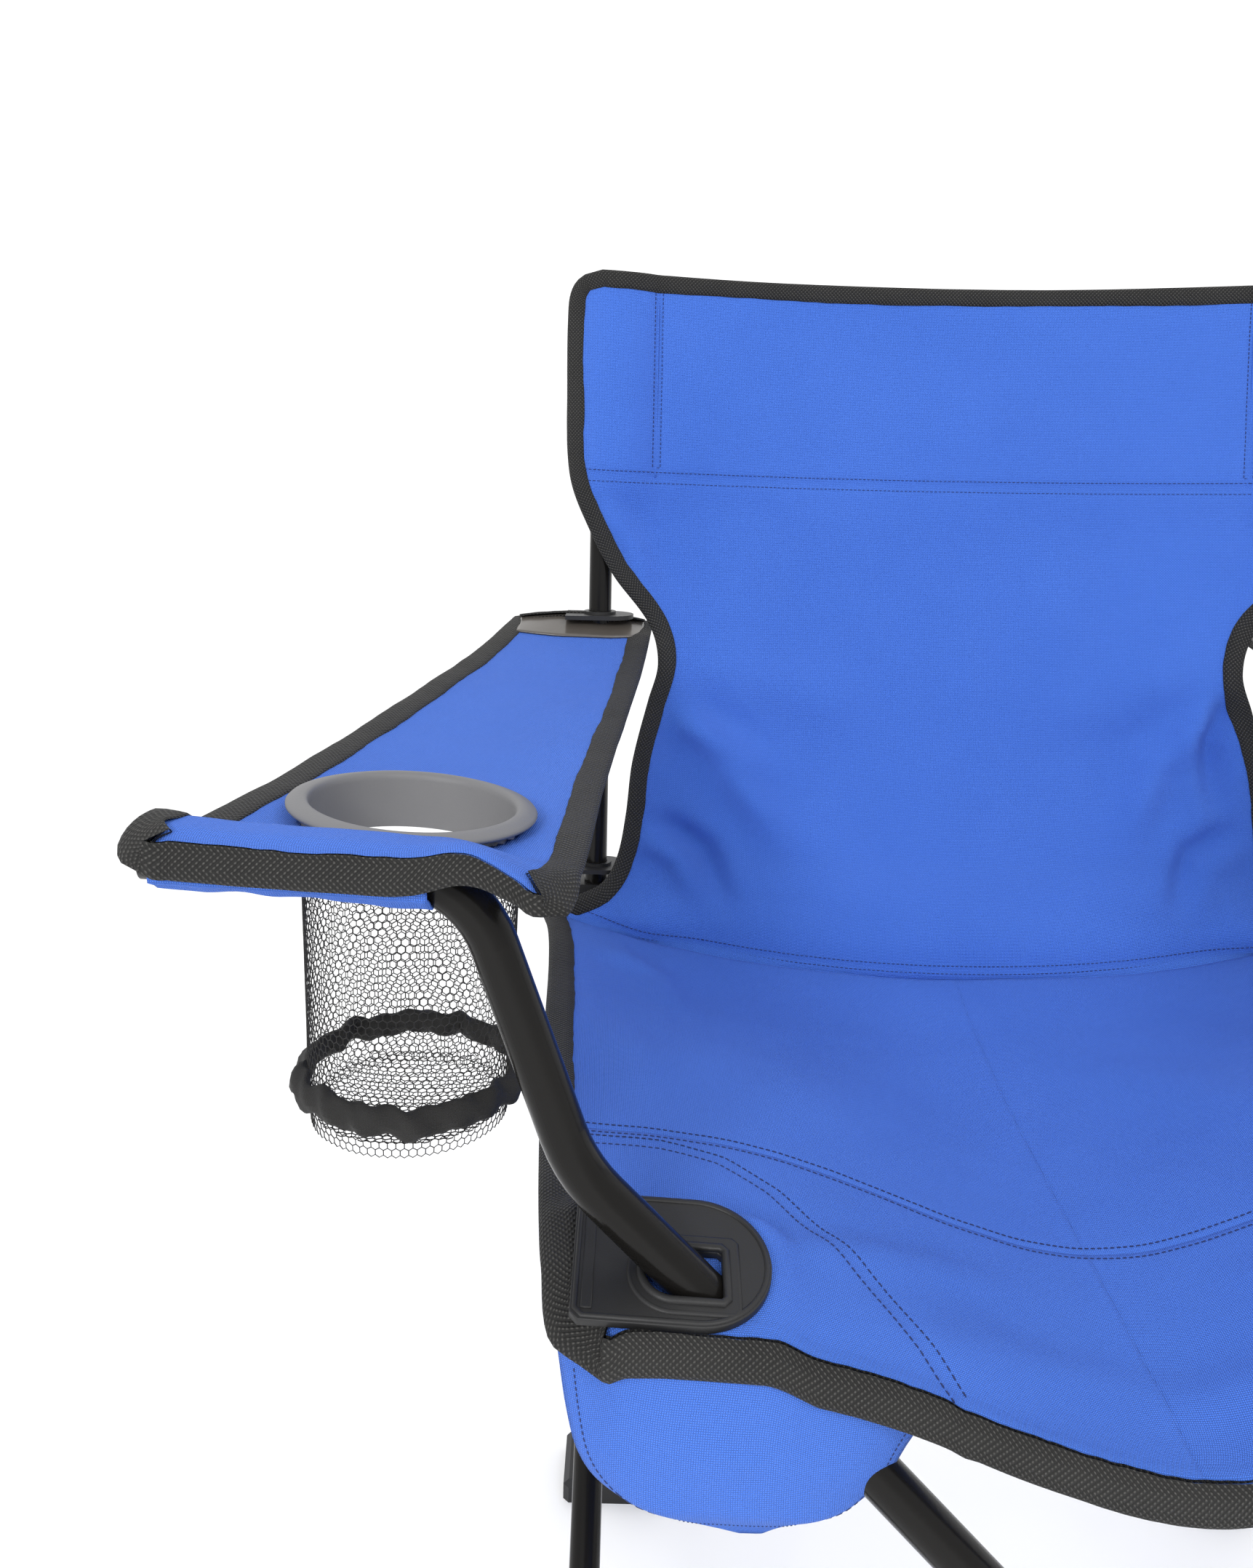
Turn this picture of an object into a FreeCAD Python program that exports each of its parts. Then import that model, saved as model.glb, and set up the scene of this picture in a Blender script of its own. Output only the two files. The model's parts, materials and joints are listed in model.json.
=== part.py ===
import FreeCAD, Part
import math
import os
from FreeCAD import Rotation, Vector

# Folding camp chair with four pairs of crossed tubes, in millimetres.
# X points to the sitter's left seen from the front (right in a front view), Y to the back, Z up.
# The uprights stand in the plane REAR; every other depth is counted from that plane, towards the front.

SIZES = {
    # tubes
    "upright_dia": 16, "cross_tube_dia": 16, "front_tube_dia": 19, "tube_wall": 1.2, "tube_end": 9,
    "pin_dia": 6, "pin_play": 0.05, "head_dia": 12, "head_thick": 2,
    # frame geometry, open
    "rear_plane": 213, "upright_x": 248, "upright_base": 414, "upright_top": 880,
    "foot_pivot_x": 196.5, "foot_pivot_z": 50, "side_span": 408, "side_rise": 350, "front_rear_gap": 24,
    "grommet_x": 205, "grommet_z": 441, "outer_side_x": 239, "inner_side_x": 215,
    "front_plane": 432, "front_stagger": 13, "back_plane": 13, "back_stagger": 11, "plate_thick": 5,
    # feet
    "foot_wide": 76, "foot_deep": 54, "foot_base": 15, "ear_half": 13,
    # seat, back and arms
    "cloth": 3, "notch": 13, "plate_sheet": 3, "hole_play": 0.3,
    "cup_x": 317, "cup_depth": 367, "cup_rim_z": 599, "cup_rim_radius": 54.5, "cup_inner_radius": 44.5,
    "cup_bottom": 456, "collar_deep": 22,
    # brackets, plates and small parts
    "ear_drop": 26, "corner_strap_drop": 14, "corner_sheet": 3, "washer_wider": 1, "cap_wider": 0.3,
    "arm_plate_z": 638, "seat_plate_z": 456, "sleeve_low": 702, "sleeve_high": 887,
}

os.makedirs("parts", exist_ok=True)
doc = FreeCAD.newDocument("camp_chair")
sheet = doc.addObject("Spreadsheet::Sheet", "sizes")
for row, (alias, value) in enumerate(SIZES.items(), start=1):
    sheet.set(f"A{row}", alias)
    sheet.set(f"B{row}", str(value))
    sheet.setAlias(f"B{row}", alias)
doc.recompute()


def size(alias):
    return float(sheet.get(alias))


REAR = size("rear_plane")
THICK = size("plate_thick")
X_AXIS = Vector(1, 0, 0)
Y_AXIS = Vector(0, 1, 0)
Z_AXIS = Vector(0, 0, 1)

# The crossed pairs: a tube's angle from the floor, and the pivots that it joins.
FOOT_X = size("foot_pivot_x")
FOOT_Z = size("foot_pivot_z")
FRONT_ANGLE = math.atan2(size("grommet_z") - FOOT_Z, size("grommet_x") + FOOT_X)
SIDE_LENGTH = math.hypot(size("side_span"), size("side_rise"))
SIDE_ANGLE = math.atan2(size("side_rise"), size("side_span"))
TOP_Z = FOOT_Z + size("side_rise")
TOP_X = FOOT_X - size("side_span")
SIDE_REAR = -size("front_rear_gap")
SIDE_FRONT = SIDE_REAR - size("side_span")


def at(x, y, z):
    """A point given by its depth y from the uprights' plane."""
    return Vector(x, REAR + y, z)


def placed(base, axis=Z_AXIS):
    return FreeCAD.Placement(base, Rotation(Z_AXIS, axis))


def cylinder(name, radius, length, base, axis):
    """A cylinder whose radius and length are expressions of the sheet."""
    item = doc.addObject("Part::Cylinder", name)
    item.setExpression("Radius", radius)
    item.setExpression("Height", length)
    item.Placement = placed(base, axis)
    return item


def box(name, low, high):
    item = doc.addObject("Part::Box", name)
    item.Length = high.x - low.x
    item.Width = high.y - low.y
    item.Height = high.z - low.z
    item.Placement = FreeCAD.Placement(low, Rotation())
    return item


def fuse(name, items):
    item = doc.addObject("Part::MultiFuse", name)
    item.Shapes = items
    return item


def cut(name, base, tools):
    item = doc.addObject("Part::Cut", name)
    item.Base = base
    item.Tool = tools[0] if len(tools) == 1 else fuse(name + "_tools", tools)
    return item


def feature(name, shape):
    item = doc.addObject("Part::Feature", name)
    item.Shape = shape
    return item


def mirrored(name, source):
    item = doc.addObject("Part::Mirroring", name)
    item.Source = source
    item.Normal = X_AXIS
    item.Base = Vector(0, 0, 0)
    return item


def padded(name, edges, placement, thickness="sizes.plate_thick"):
    """A PartDesign pad of a closed sketch; the inner loops of the sketch are its holes."""
    body = doc.addObject("PartDesign::Body", name + "_body")
    sketch = body.newObject("Sketcher::SketchObject", name + "_outline")
    plane = [f for f in body.Origin.OriginFeatures if f.Role == "XY_Plane"][0]
    sketch.AttachmentSupport = [(plane, "")]
    sketch.MapMode = "FlatFace"
    for edge in edges:
        sketch.addGeometry(edge, False)
    pad = body.newObject("PartDesign::Pad", name + "_pad")
    pad.Profile = sketch
    pad.setExpression("Length", thickness)
    body.Tip = pad
    body.Placement = placement
    return body


def ring(radius, x=0.0, y=0.0):
    return Part.Circle(Vector(x, y, 0), Z_AXIS, radius)


def loop(points):
    """Straight edges joining the points in turn, back to the first."""
    corners = [Vector(x, y, 0) for x, y in points]
    return [Part.LineSegment(a, b) for a, b in zip(corners, corners[1:] + corners[:1])]


def round_ended(half, straight, hole_radius):
    """An upright strap with a half-round top centred on its hole; the sketch's origin is the hole."""
    left = Vector(-half, 0, 0)
    right = Vector(half, 0, 0)
    top = Part.ArcOfCircle(Part.Circle(Vector(0, 0, 0), Z_AXIS, half), 0, math.pi)
    low_left = Vector(-half, -straight, 0)
    low_right = Vector(half, -straight, 0)
    sides = [Part.LineSegment(left, low_left), Part.LineSegment(low_left, low_right)]
    return [top, *sides, Part.LineSegment(low_right, right), ring(hole_radius)]


def capsule(half_wide, half_deep):
    """A plate outline, straight on the left and rounded on the right, about the origin."""
    centre = Vector(half_wide - half_deep, 0, 0)
    arc = Part.ArcOfCircle(Part.Circle(centre, Z_AXIS, half_deep), -math.pi / 2, math.pi / 2)
    top = Vector(centre.x, half_deep, 0)
    top_left = Vector(-half_wide, half_deep, 0)
    low_left = Vector(-half_wide, -half_deep, 0)
    low = Vector(centre.x, -half_deep, 0)
    lines = [(top, top_left), (top_left, low_left), (low_left, low)]
    return [arc, *[Part.LineSegment(a, b) for a, b in lines]]


# Planes that a sketch is turned into: normal along X (sketch x = Y, sketch y = Z) or along Y,
# the same upside down for a strap that hangs from its rivet, and turned to reach sideways.
FACING_X = Rotation(Y_AXIS, Z_AXIS, X_AXIS, "ZXY")
FACING_Y = Rotation(X_AXIS, Z_AXIS, -Y_AXIS, "ZXY")
UPSIDE_DOWN = Rotation(-Y_AXIS, -Z_AXIS, X_AXIS, "ZXY")
SIDEWAYS = Rotation(Z_AXIS, X_AXIS, -Y_AXIS, "ZXY")


def turned(base, rotation):
    return FreeCAD.Placement(base, rotation)


def rivet(name, base, axis, length):
    """A pin with a flat head at each end; length is between the heads."""
    pin = cylinder(name + "_pin", "sizes.pin_dia / 2", str(length), base, axis)
    heads = []
    for end, start in (("near", base - axis * size("head_thick")), ("far", base + axis * length)):
        heads.append(cylinder(f"{name}_{end}", "sizes.head_dia / 2", "sizes.head_thick", start, axis))
    return fuse(name, [pin, *heads])


def pin_hole(name, centre, axis, diameter="sizes.pin_dia + 2 * sizes.pin_play"):
    start = centre - axis * size("front_tube_dia")
    return cylinder(name, f"({diameter}) / 2", "2 * sizes.front_tube_dia", start, axis)


def tube_path(points, radii):
    """Straight runs joined by tangent arcs, one radius for each inner point."""
    edges = []
    start = points[0]
    for before, corner, after, radius in zip(points, points[1:], points[2:], radii):
        back = (before - corner).normalize()
        ahead = (after - corner).normalize()
        half_turn = (math.pi - back.getAngle(ahead)) / 2
        reach = radius * math.tan(half_turn)
        first = corner + back * reach
        last = corner + ahead * reach
        bisector = (back + ahead).normalize()
        middle = corner + bisector * (radius / math.cos(half_turn) - radius)
        edges.append(Part.LineSegment(start, first).toShape())
        edges.append(Part.Arc(first, middle, last).toShape())
        start = last
    edges.append(Part.LineSegment(start, points[-1]).toShape())
    return Part.Wire(edges)


def swept(points, radii, radius):
    path = tube_path(points, radii)
    direction = (points[1] - points[0]).normalize()
    profile = Part.Wire(Part.Circle(points[0], direction, radius).toShape())
    return Part.Wire(path).makePipeShell([profile], True, False)


def bent_tube(name, points, radii, diameter, holes):
    outer = swept(points, radii, diameter / 2)
    inner = swept(points, radii, diameter / 2 - size("tube_wall"))
    bent = feature(name + "_bent", outer.cut(inner))
    return cut(name, bent, holes)


def straight_tube(name, diameter, start, end, holes):
    axis = (end - start).normalize()
    length = str((end - start).Length)
    outer = cylinder(name + "_outer", f"sizes.{diameter} / 2", length, start, axis)
    inner = cylinder(name + "_bore", f"sizes.{diameter} / 2 - sizes.tube_wall", length, start, axis)
    return cut(name, outer, [inner, *holes])


def cloth(name, sections, down):
    """A thin solid through cross-sections; each is a list of points that a smooth curve joins."""
    wires = []
    for points in sections:
        curve = Part.BSplineCurve()
        curve.interpolate(points)
        back = Part.BSplineCurve()
        back.interpolate([p + down for p in points])
        first = Part.LineSegment(points[-1], points[-1] + down).toShape()
        last = Part.LineSegment(points[0] + down, points[0]).toShape()
        wires.append(Part.Wire([curve.toShape(), first, back.toShape(), last]))
    return Part.makeLoft(wires, True, True)


nodes = {}


def node(name, item):
    item.Label = name
    nodes[name] = item


def both_sides(name, item):
    """The left piece, and its mirror image as the right piece."""
    node(name + "_left", item)
    node(name + "_right", mirrored(name + "_right", item))


def one_side(name, item, side):
    """The piece as it was made where side is +1, and only its mirror image where side is -1."""
    if side > 0:
        node(name, item)
    else:
        item.Label = name + "_source"
        node(name, mirrored(name + "_placed", item))


# ---- feet: a base with two upright straps, one across each pair of tubes ----
STRAP_X = (size("outer_side_x") + size("inner_side_x")) / 2
FRONT_STRAP = -size("front_plane")
BACK_STRAP = size("back_plane")
EAR = size("ear_half")
PIN_RADIUS = size("pin_dia") / 2
FOOT_EASE = 4


def on_top_or_corner(edge):
    low, high = edge.BoundBox.ZMin, edge.BoundBox.ZMax
    return high - low > 1 or low > 1


def foot(name, side_y, cross_y):
    """The left foot whose side strap is at depth side_y and whose cross strap is at depth cross_y."""
    middle = (side_y + cross_y) / 2
    half_wide = size("foot_wide") / 2
    half_deep = size("foot_deep") / 2
    base_x = (STRAP_X + FOOT_X) / 2 + EAR
    low = at(-base_x - half_wide, middle - half_deep, 0)
    high = at(-base_x + half_wide, middle + half_deep, size("foot_base"))
    base = box(name + "_block", low, high)
    eased = doc.addObject("Part::Chamfer", name + "_base")
    doc.recompute()
    eased.Base = base
    eased_edges = [i + 1 for i, edge in enumerate(base.Shape.Edges) if on_top_or_corner(edge)]
    eased.Edges = [(i, FOOT_EASE, FOOT_EASE) for i in eased_edges]
    straight = FOOT_Z - size("foot_base") + 1
    strap = round_ended(EAR, straight, PIN_RADIUS)
    side = padded(name + "_side", strap, turned(at(-STRAP_X - THICK / 2, side_y, FOOT_Z), FACING_X))
    cross = padded(name + "_cross", strap, turned(at(-FOOT_X, cross_y + THICK / 2, FOOT_Z), FACING_Y))
    return fuse(name, [eased, side, cross])


both_sides("foot_front", foot("foot_front", SIDE_FRONT, FRONT_STRAP))
both_sides("foot_rear", foot("foot_rear", SIDE_REAR, BACK_STRAP))

# ---- straps' rivets: a pin through each strap and the tube beside it ----
SIDE_RADIUS = size("cross_tube_dia") / 2
FRONT_RADIUS = size("front_tube_dia") / 2
PLAY = size("hole_play")
PIN_START = -THICK / 2 - 0.01


def pin_from_strap(offset, radius):
    """A pin's length, from just beyond its strap to the far side of the tube beside it."""
    return offset + radius + PLAY - PIN_START


def foot_rivets(name, side, side_y, side_offset, strap_y, cross_offset, cross_radius):
    """side is -1 on the left. An offset is how far the tube stands from the strap, with its sign."""
    x_sign = math.copysign(1, side_offset)
    side_base = at(side * STRAP_X + x_sign * PIN_START, side_y, FOOT_Z)
    side_length = pin_from_strap(abs(side_offset), SIDE_RADIUS)
    side_pin = rivet(name + "_side", side_base, X_AXIS * x_sign, side_length)
    y_sign = math.copysign(1, cross_offset)
    cross_base = at(side * FOOT_X, strap_y + y_sign * PIN_START, FOOT_Z)
    cross_length = pin_from_strap(abs(cross_offset), cross_radius)
    cross_pin = rivet(name + "_cross", cross_base, Y_AXIS * y_sign, cross_length)
    node(name, fuse(name, [side_pin, cross_pin]))


SIDE_GAP = STRAP_X - size("inner_side_x")
FRONT_GAP = size("front_stagger")
BACK_GAP = size("back_stagger")
foot_rivets("foot_front_left_rivets", -1, SIDE_FRONT, -SIDE_GAP, FRONT_STRAP, FRONT_GAP, FRONT_RADIUS)
foot_rivets("foot_front_right_rivets", 1, SIDE_FRONT, SIDE_GAP, FRONT_STRAP, -FRONT_GAP, FRONT_RADIUS)
foot_rivets("foot_rear_left_rivets", -1, SIDE_REAR, SIDE_GAP, BACK_STRAP, -BACK_GAP, SIDE_RADIUS)
foot_rivets("foot_rear_right_rivets", 1, SIDE_REAR, -SIDE_GAP, BACK_STRAP, BACK_GAP, SIDE_RADIUS)

# ---- side pairs: the outer tube from the front foot to the upright, the inner from the rear foot ----
SIDE_MIDDLE = (SIDE_FRONT + SIDE_REAR) / 2
CROSS_Z = FOOT_Z + size("side_rise") / 2
TUBE_END = size("tube_end")


def side_tube(name, x, low_y, high_y, own_pin):
    """own_pin names the pivot, 0 to 2 from the foot up, whose pin this tube holds tightly."""
    low = at(x, low_y, FOOT_Z)
    high = at(x, high_y, TOP_Z)
    axis = (high - low).normalize()
    holes = []
    for i, centre in enumerate((low, (low + high) * 0.5, high)):
        diameter = "sizes.pin_dia" if i == own_pin else "sizes.pin_dia + 2 * sizes.pin_play"
        holes.append(pin_hole(f"{name}_hole{i}", centre, X_AXIS, diameter))
    tube = straight_tube(name, "cross_tube_dia", low - axis * TUBE_END, high + axis * TUBE_END, holes)
    both_sides(name, tube)


side_tube("side_tube_outer", -size("outer_side_x"), SIDE_FRONT, SIDE_REAR, None)
side_tube("side_tube_inner", -size("inner_side_x"), SIDE_REAR, SIDE_FRONT, 1)
cross_span = size("outer_side_x") - size("inner_side_x") + 2 * (SIDE_RADIUS + PLAY)
cross_base = at(-size("outer_side_x") - SIDE_RADIUS - PLAY, SIDE_MIDDLE, CROSS_Z)
both_sides("side_cross_rivet", rivet("side_cross_rivet", cross_base, X_AXIS, cross_span))


def spacer(name, centre, axis, gap):
    """A washer that fills the gap between two crossed tubes, with play at each face."""
    play = 2 * PLAY
    base = centre - axis * (gap / 2 - play)
    length = str(gap - 2 * play)
    outer = cylinder(name + "_rim", "sizes.head_dia / 2 + sizes.washer_wider", length, base, axis)
    bore = cylinder(name + "_bore", "sizes.pin_dia / 2 + 0.2", length, base, axis)
    return cut(name, outer, [bore])


side_gap = size("outer_side_x") - size("inner_side_x") - 2 * SIDE_RADIUS
both_sides("side_spacer", spacer("side_spacer", at(-STRAP_X, SIDE_MIDDLE, CROSS_Z), X_AXIS, side_gap))

# ---- back pair: from a rear foot to the far upright's bracket, bent near the top ----
FRONT_DIRECTION = Vector(-math.cos(FRONT_ANGLE), 0, math.sin(FRONT_ANGLE))
HALF_LENGTH = FOOT_X / math.cos(FRONT_ANGLE)
CENTRE_Z = FOOT_Z + HALF_LENGTH * math.sin(FRONT_ANGLE)


def back_tube(name, plane, side, cross_pin_play):
    """side is +1 for the tube that starts at the right foot and ends at the left bracket."""
    low = at(FOOT_X, plane, FOOT_Z)
    top = at(TOP_X, plane, TOP_Z)
    bend = low + FRONT_DIRECTION * (0.86 * SIDE_LENGTH)
    last = top + (top - bend).normalize() * (TUBE_END - 1)
    points = [low - FRONT_DIRECTION * TUBE_END, bend, last]
    plain = "sizes.pin_dia + 2 * sizes.pin_play"
    cross = plain if cross_pin_play else "sizes.pin_dia"
    centres = ((low, plain), (at(0, plane, CENTRE_Z), cross), (top, plain))
    holes = [pin_hole(f"{name}_hole{i}", c, Y_AXIS, d) for i, (c, d) in enumerate(centres)]
    one_side(name, bent_tube(name, points, [60], size("cross_tube_dia"), holes), side)


BACK_FRONT_PLANE = BACK_STRAP - BACK_GAP
BACK_REAR_PLANE = BACK_STRAP + BACK_GAP
back_tube("back_tube_from_left", BACK_FRONT_PLANE, -1, False)
back_tube("back_tube_from_right", BACK_REAR_PLANE, 1, True)
back_start = at(0, BACK_FRONT_PLANE - SIDE_RADIUS - PLAY, CENTRE_Z)
back_length = 2 * (BACK_GAP + SIDE_RADIUS + PLAY)
node("back_cross_rivet", rivet("back_cross_rivet", back_start, Y_AXIS, back_length))
back_gap = 2 * (BACK_GAP - SIDE_RADIUS)
node("back_spacer", spacer("back_spacer", at(0, BACK_STRAP, CENTRE_Z), Y_AXIS, back_gap))

# ---- front pair: each tube runs from a front foot through the seat corner and bends into the arm ----
ARM_START = (-284, 592)
ARM_END = (-405, 597)
BEND_LOW = (-240.6, 475.6)
FRONT_BEND_RADII = (300, 300, 70, 45)


def front_tube(name, plane, side, cross_pin_play):
    """The tube crosses in its own plane and leans to the common front plane below the seat."""
    low = at(FOOT_X, plane, FOOT_Z)
    below = low + FRONT_DIRECTION * (1.2 * HALF_LENGTH)
    above = low + FRONT_DIRECTION * (1.85 * HALF_LENGTH)
    above.y = REAR + FRONT_STRAP
    bends = [at(x, FRONT_STRAP, z) for x, z in (BEND_LOW, ARM_START, ARM_END)]
    points = [low - FRONT_DIRECTION * TUBE_END, below, above, *bends]
    plain = "sizes.pin_dia + 2 * sizes.pin_play"
    cross = plain if cross_pin_play else "sizes.pin_dia"
    centres = ((low, plain), (at(0, plane, CENTRE_Z), cross))
    holes = [pin_hole(f"{name}_hole{i}", c, Y_AXIS, d) for i, (c, d) in enumerate(centres)]
    one_side(name, bent_tube(name, points, FRONT_BEND_RADII, size("front_tube_dia"), holes), side)


front_tube("front_tube_from_right", FRONT_STRAP - FRONT_GAP, 1, True)
front_tube("front_tube_from_left", FRONT_STRAP + FRONT_GAP, -1, False)
front_start = at(0, FRONT_STRAP - FRONT_GAP - FRONT_RADIUS - PLAY, CENTRE_Z)
front_length = 2 * (FRONT_GAP + FRONT_RADIUS + PLAY)
node("front_cross_rivet", rivet("front_cross_rivet", front_start, Y_AXIS, front_length))
front_gap = 2 * (FRONT_GAP - FRONT_RADIUS)
node("front_spacer", spacer("front_spacer", at(0, FRONT_STRAP, CENTRE_Z), Y_AXIS, front_gap))


CAP_STEM = 14


def end_cap(name, centre, axis):
    """A plug with a rounded head for the open end of an arm tube."""
    head = cylinder(name + "_head", "sizes.front_tube_dia / 2 + sizes.cap_wider", "4", centre, axis)
    stem_radius = "sizes.front_tube_dia / 2 - sizes.tube_wall"
    stem = cylinder(name + "_stem", stem_radius, str(CAP_STEM), centre - axis * CAP_STEM, axis)
    return fuse(name, [head, stem])


arm_axis = (at(ARM_END[0], 0, ARM_END[1]) - at(ARM_START[0], 0, ARM_START[1])).normalize()
both_sides("arm_tube_cap", end_cap("arm_tube_cap", at(ARM_END[0], FRONT_STRAP, ARM_END[1]), arm_axis))

# ---- uprights with their brackets, and the plates that they pass through ----
UPRIGHT_X = size("upright_x")
upright_low = at(-UPRIGHT_X, 0, size("upright_base"))
upright_high = at(-UPRIGHT_X, 0, size("upright_top"))
both_sides("upright", straight_tube("upright", "upright_dia", upright_low, upright_high, []))
cap_head = cylinder("upright_cap_head", "sizes.upright_dia / 2 + 0.8", "3", upright_high, Z_AXIS)
cap_base = upright_high - Z_AXIS * CAP_STEM
cap_bore = "sizes.upright_dia / 2 - sizes.tube_wall"
cap_stem = cylinder("upright_cap_stem", cap_bore, str(CAP_STEM), cap_base, Z_AXIS)
both_sides("upright_cap", fuse("upright_cap", [cap_head, cap_stem]))

BASE_Z = size("upright_base")
SOCKET_HALF = 12
SOCKET_FRONT = -10
SOCKET_TOP = BASE_Z + 32
STRAP_LEFT = -STRAP_X - THICK / 2
STRAP_RIGHT = -STRAP_X + THICK / 2
BACK_LOW = BACK_STRAP - THICK / 2
BACK_HIGH = BACK_STRAP + THICK / 2
socket_low = at(-UPRIGHT_X - SOCKET_HALF, SOCKET_FRONT, BASE_Z - 2)
socket = box("rear_bracket_socket", socket_low, at(STRAP_RIGHT, BACK_HIGH, SOCKET_TOP))
side_strap = round_ended(EAR, size("ear_drop"), PIN_RADIUS)
side_ear = padded("rear_bracket_side", side_strap, turned(at(STRAP_LEFT, SIDE_REAR, TOP_Z), UPSIDE_DOWN))
back_strap = round_ended(EAR, size("ear_drop"), PIN_RADIUS)
back_ear = padded("rear_bracket_back", back_strap, turned(at(TOP_X, BACK_HIGH, TOP_Z), SIDEWAYS))
side_web_low = at(STRAP_LEFT, SIDE_REAR, TOP_Z + EAR - 4)
side_web = box("rear_bracket_side_web", side_web_low, at(STRAP_RIGHT, SOCKET_FRONT + 1, BASE_Z + 10))
back_web_low = at(STRAP_RIGHT - 16, BACK_LOW, TOP_Z - EAR)
back_web = box("rear_bracket_back_web", back_web_low, at(STRAP_RIGHT + 4, BACK_HIGH, BASE_Z + 2))
bore = cylinder("rear_bracket_bore", "sizes.upright_dia / 2", "60", upright_low, Z_AXIS)
bracket = fuse("rear_bracket_whole", [socket, side_ear, back_ear, side_web, back_web])
both_sides("rear_bracket", cut("rear_bracket", bracket, [bore]))

bracket_pin_base = at(-STRAP_X - PIN_START, SIDE_REAR, TOP_Z)
bracket_pin = rivet("rear_bracket_rivet", bracket_pin_base, -X_AXIS, pin_from_strap(SIDE_GAP, SIDE_RADIUS))
both_sides("rear_bracket_rivet", bracket_pin)


def pierced_plate(name, half_wide, half_deep, hole, centre):
    """A flat moulded plate around the upright, with a raised collar."""
    outline = capsule(half_wide, half_deep)
    plate = padded(name + "_plate", [*outline, ring(hole)], placed(centre), "sizes.plate_sheet")
    collar = padded(name + "_collar", [ring(hole + 3), ring(hole)], placed(centre), "sizes.plate_sheet + 2")
    return fuse(name, [plate, collar])


UPRIGHT_HOLE = size("upright_dia") / 2 + PLAY
for plate, plate_half, plate_z in (("arm_plate", 24, "arm_plate_z"), ("seat_rear_plate", 23, "seat_plate_z")):
    centre = at(-UPRIGHT_X, 0, size(plate_z))
    both_sides(plate, pierced_plate(plate, plate_half, 17, UPRIGHT_HOLE, centre))

# ---- the front seat corners: bracket, plate with a slotted hole, and the pocket that hides it ----
CORNER_DROP = size("corner_strap_drop")
CORNER_SHEET = size("corner_sheet")
CORNER_FACE = -size("inner_side_x") - SIDE_RADIUS - CORNER_SHEET - PLAY
corner_outline = round_ended(EAR, CORNER_DROP, PIN_RADIUS)
strap_place = turned(at(CORNER_FACE, SIDE_FRONT, TOP_Z), UPSIDE_DOWN)
corner_plate = padded("corner_strap", corner_outline, strap_place, "sizes.corner_sheet")
flange_low = at(CORNER_FACE, SIDE_FRONT - EAR, TOP_Z + CORNER_DROP)
flange_high = at(-size("inner_side_x") + 5, SIDE_FRONT + EAR, TOP_Z + CORNER_DROP + CORNER_SHEET)
corner = fuse("corner_bracket", [corner_plate, box("corner_flange", flange_low, flange_high)])
both_sides("corner_bracket", corner)
corner_pin_length = 2 * SIDE_RADIUS + CORNER_SHEET + 2 * PLAY
corner_pin = rivet("corner_rivet", at(CORNER_FACE, SIDE_FRONT, TOP_Z), X_AXIS, corner_pin_length)
both_sides("corner_rivet", corner_pin)

PLATE_CENTRE = at(-204, -424, 436)
slot_centre = Vector(-4, -8, 0)
slot_radius = 12
slot_end = 19
slot_top = slot_centre.y + slot_radius
slot_low = slot_centre.y - slot_radius
slot_corners = [(slot_centre.x, slot_top), (slot_end, slot_top)]
slot_corners += [(slot_end, slot_low), (slot_centre.x, slot_low)]
slot_round = Part.Circle(slot_centre, Z_AXIS, slot_radius)
slot = [Part.ArcOfCircle(slot_round, math.pi / 2, 3 * math.pi / 2), *loop(slot_corners)[:3]]
front_plate = padded("seat_front_plate", [*capsule(41, 30), *slot], placed(PLATE_CENTRE), "sizes.plate_sheet")
both_sides("seat_front_plate", front_plate)

flap_centre = at(-176.5, -449.5, 390)
FLAP_RADIUS = 58
flap_arc = Part.ArcOfCircle(ring(FLAP_RADIUS), math.pi, 2 * math.pi)
flap_top = [(FLAP_RADIUS, 0), (FLAP_RADIUS, 4), (-FLAP_RADIUS, 34), (-FLAP_RADIUS, 0)]
flap_outline = [flap_arc, *loop(flap_top)[:3]]
both_sides("corner_pocket", padded("corner_pocket", flap_outline, turned(flap_centre, FACING_Y), "2"))

# ---- seat and back ----
CLOTH = size("cloth")
DOWN = Vector(0, 0, -CLOTH)
BACKWARD = Vector(0, CLOTH, 0)


def across(half, y_edge, y_middle, z_edge, z_between, z_middle):
    """A symmetrical row of five points from left to right."""
    y_between = (2 * y_middle + y_edge) / 3
    rows = [(-1, y_edge, z_edge), (-0.6, y_between, z_between), (0, y_middle, z_middle)]
    rows += [(0.6, y_between, z_between), (1, y_edge, z_edge)]
    return [at(half * share, y, z) for share, y, z in rows]


SEAT_ROWS = (
    (-20, 260, 448, 415, 405), (-120, 266, 437, 403, 384), (-230, 264, 432, 403, 377),
    (-320, 260, 430, 413, 378), (-390, 254, 429, 418, 376),
)
FRONT_ROWS = ((-388, 156, 422, 397, 376.5), (-453, 156, 414, 394, 371))
seat_back = cloth("seat", [across(h, y, y, ze, zb, zm) for y, h, ze, zb, zm in SEAT_ROWS], DOWN)
seat_front = cloth("seat_front", [across(h, y, y, ze, zb, zm) for y, h, ze, zb, zm in FRONT_ROWS], DOWN)
node("seat_panel", feature("seat_panel", seat_back.fuse(seat_front)))

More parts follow.
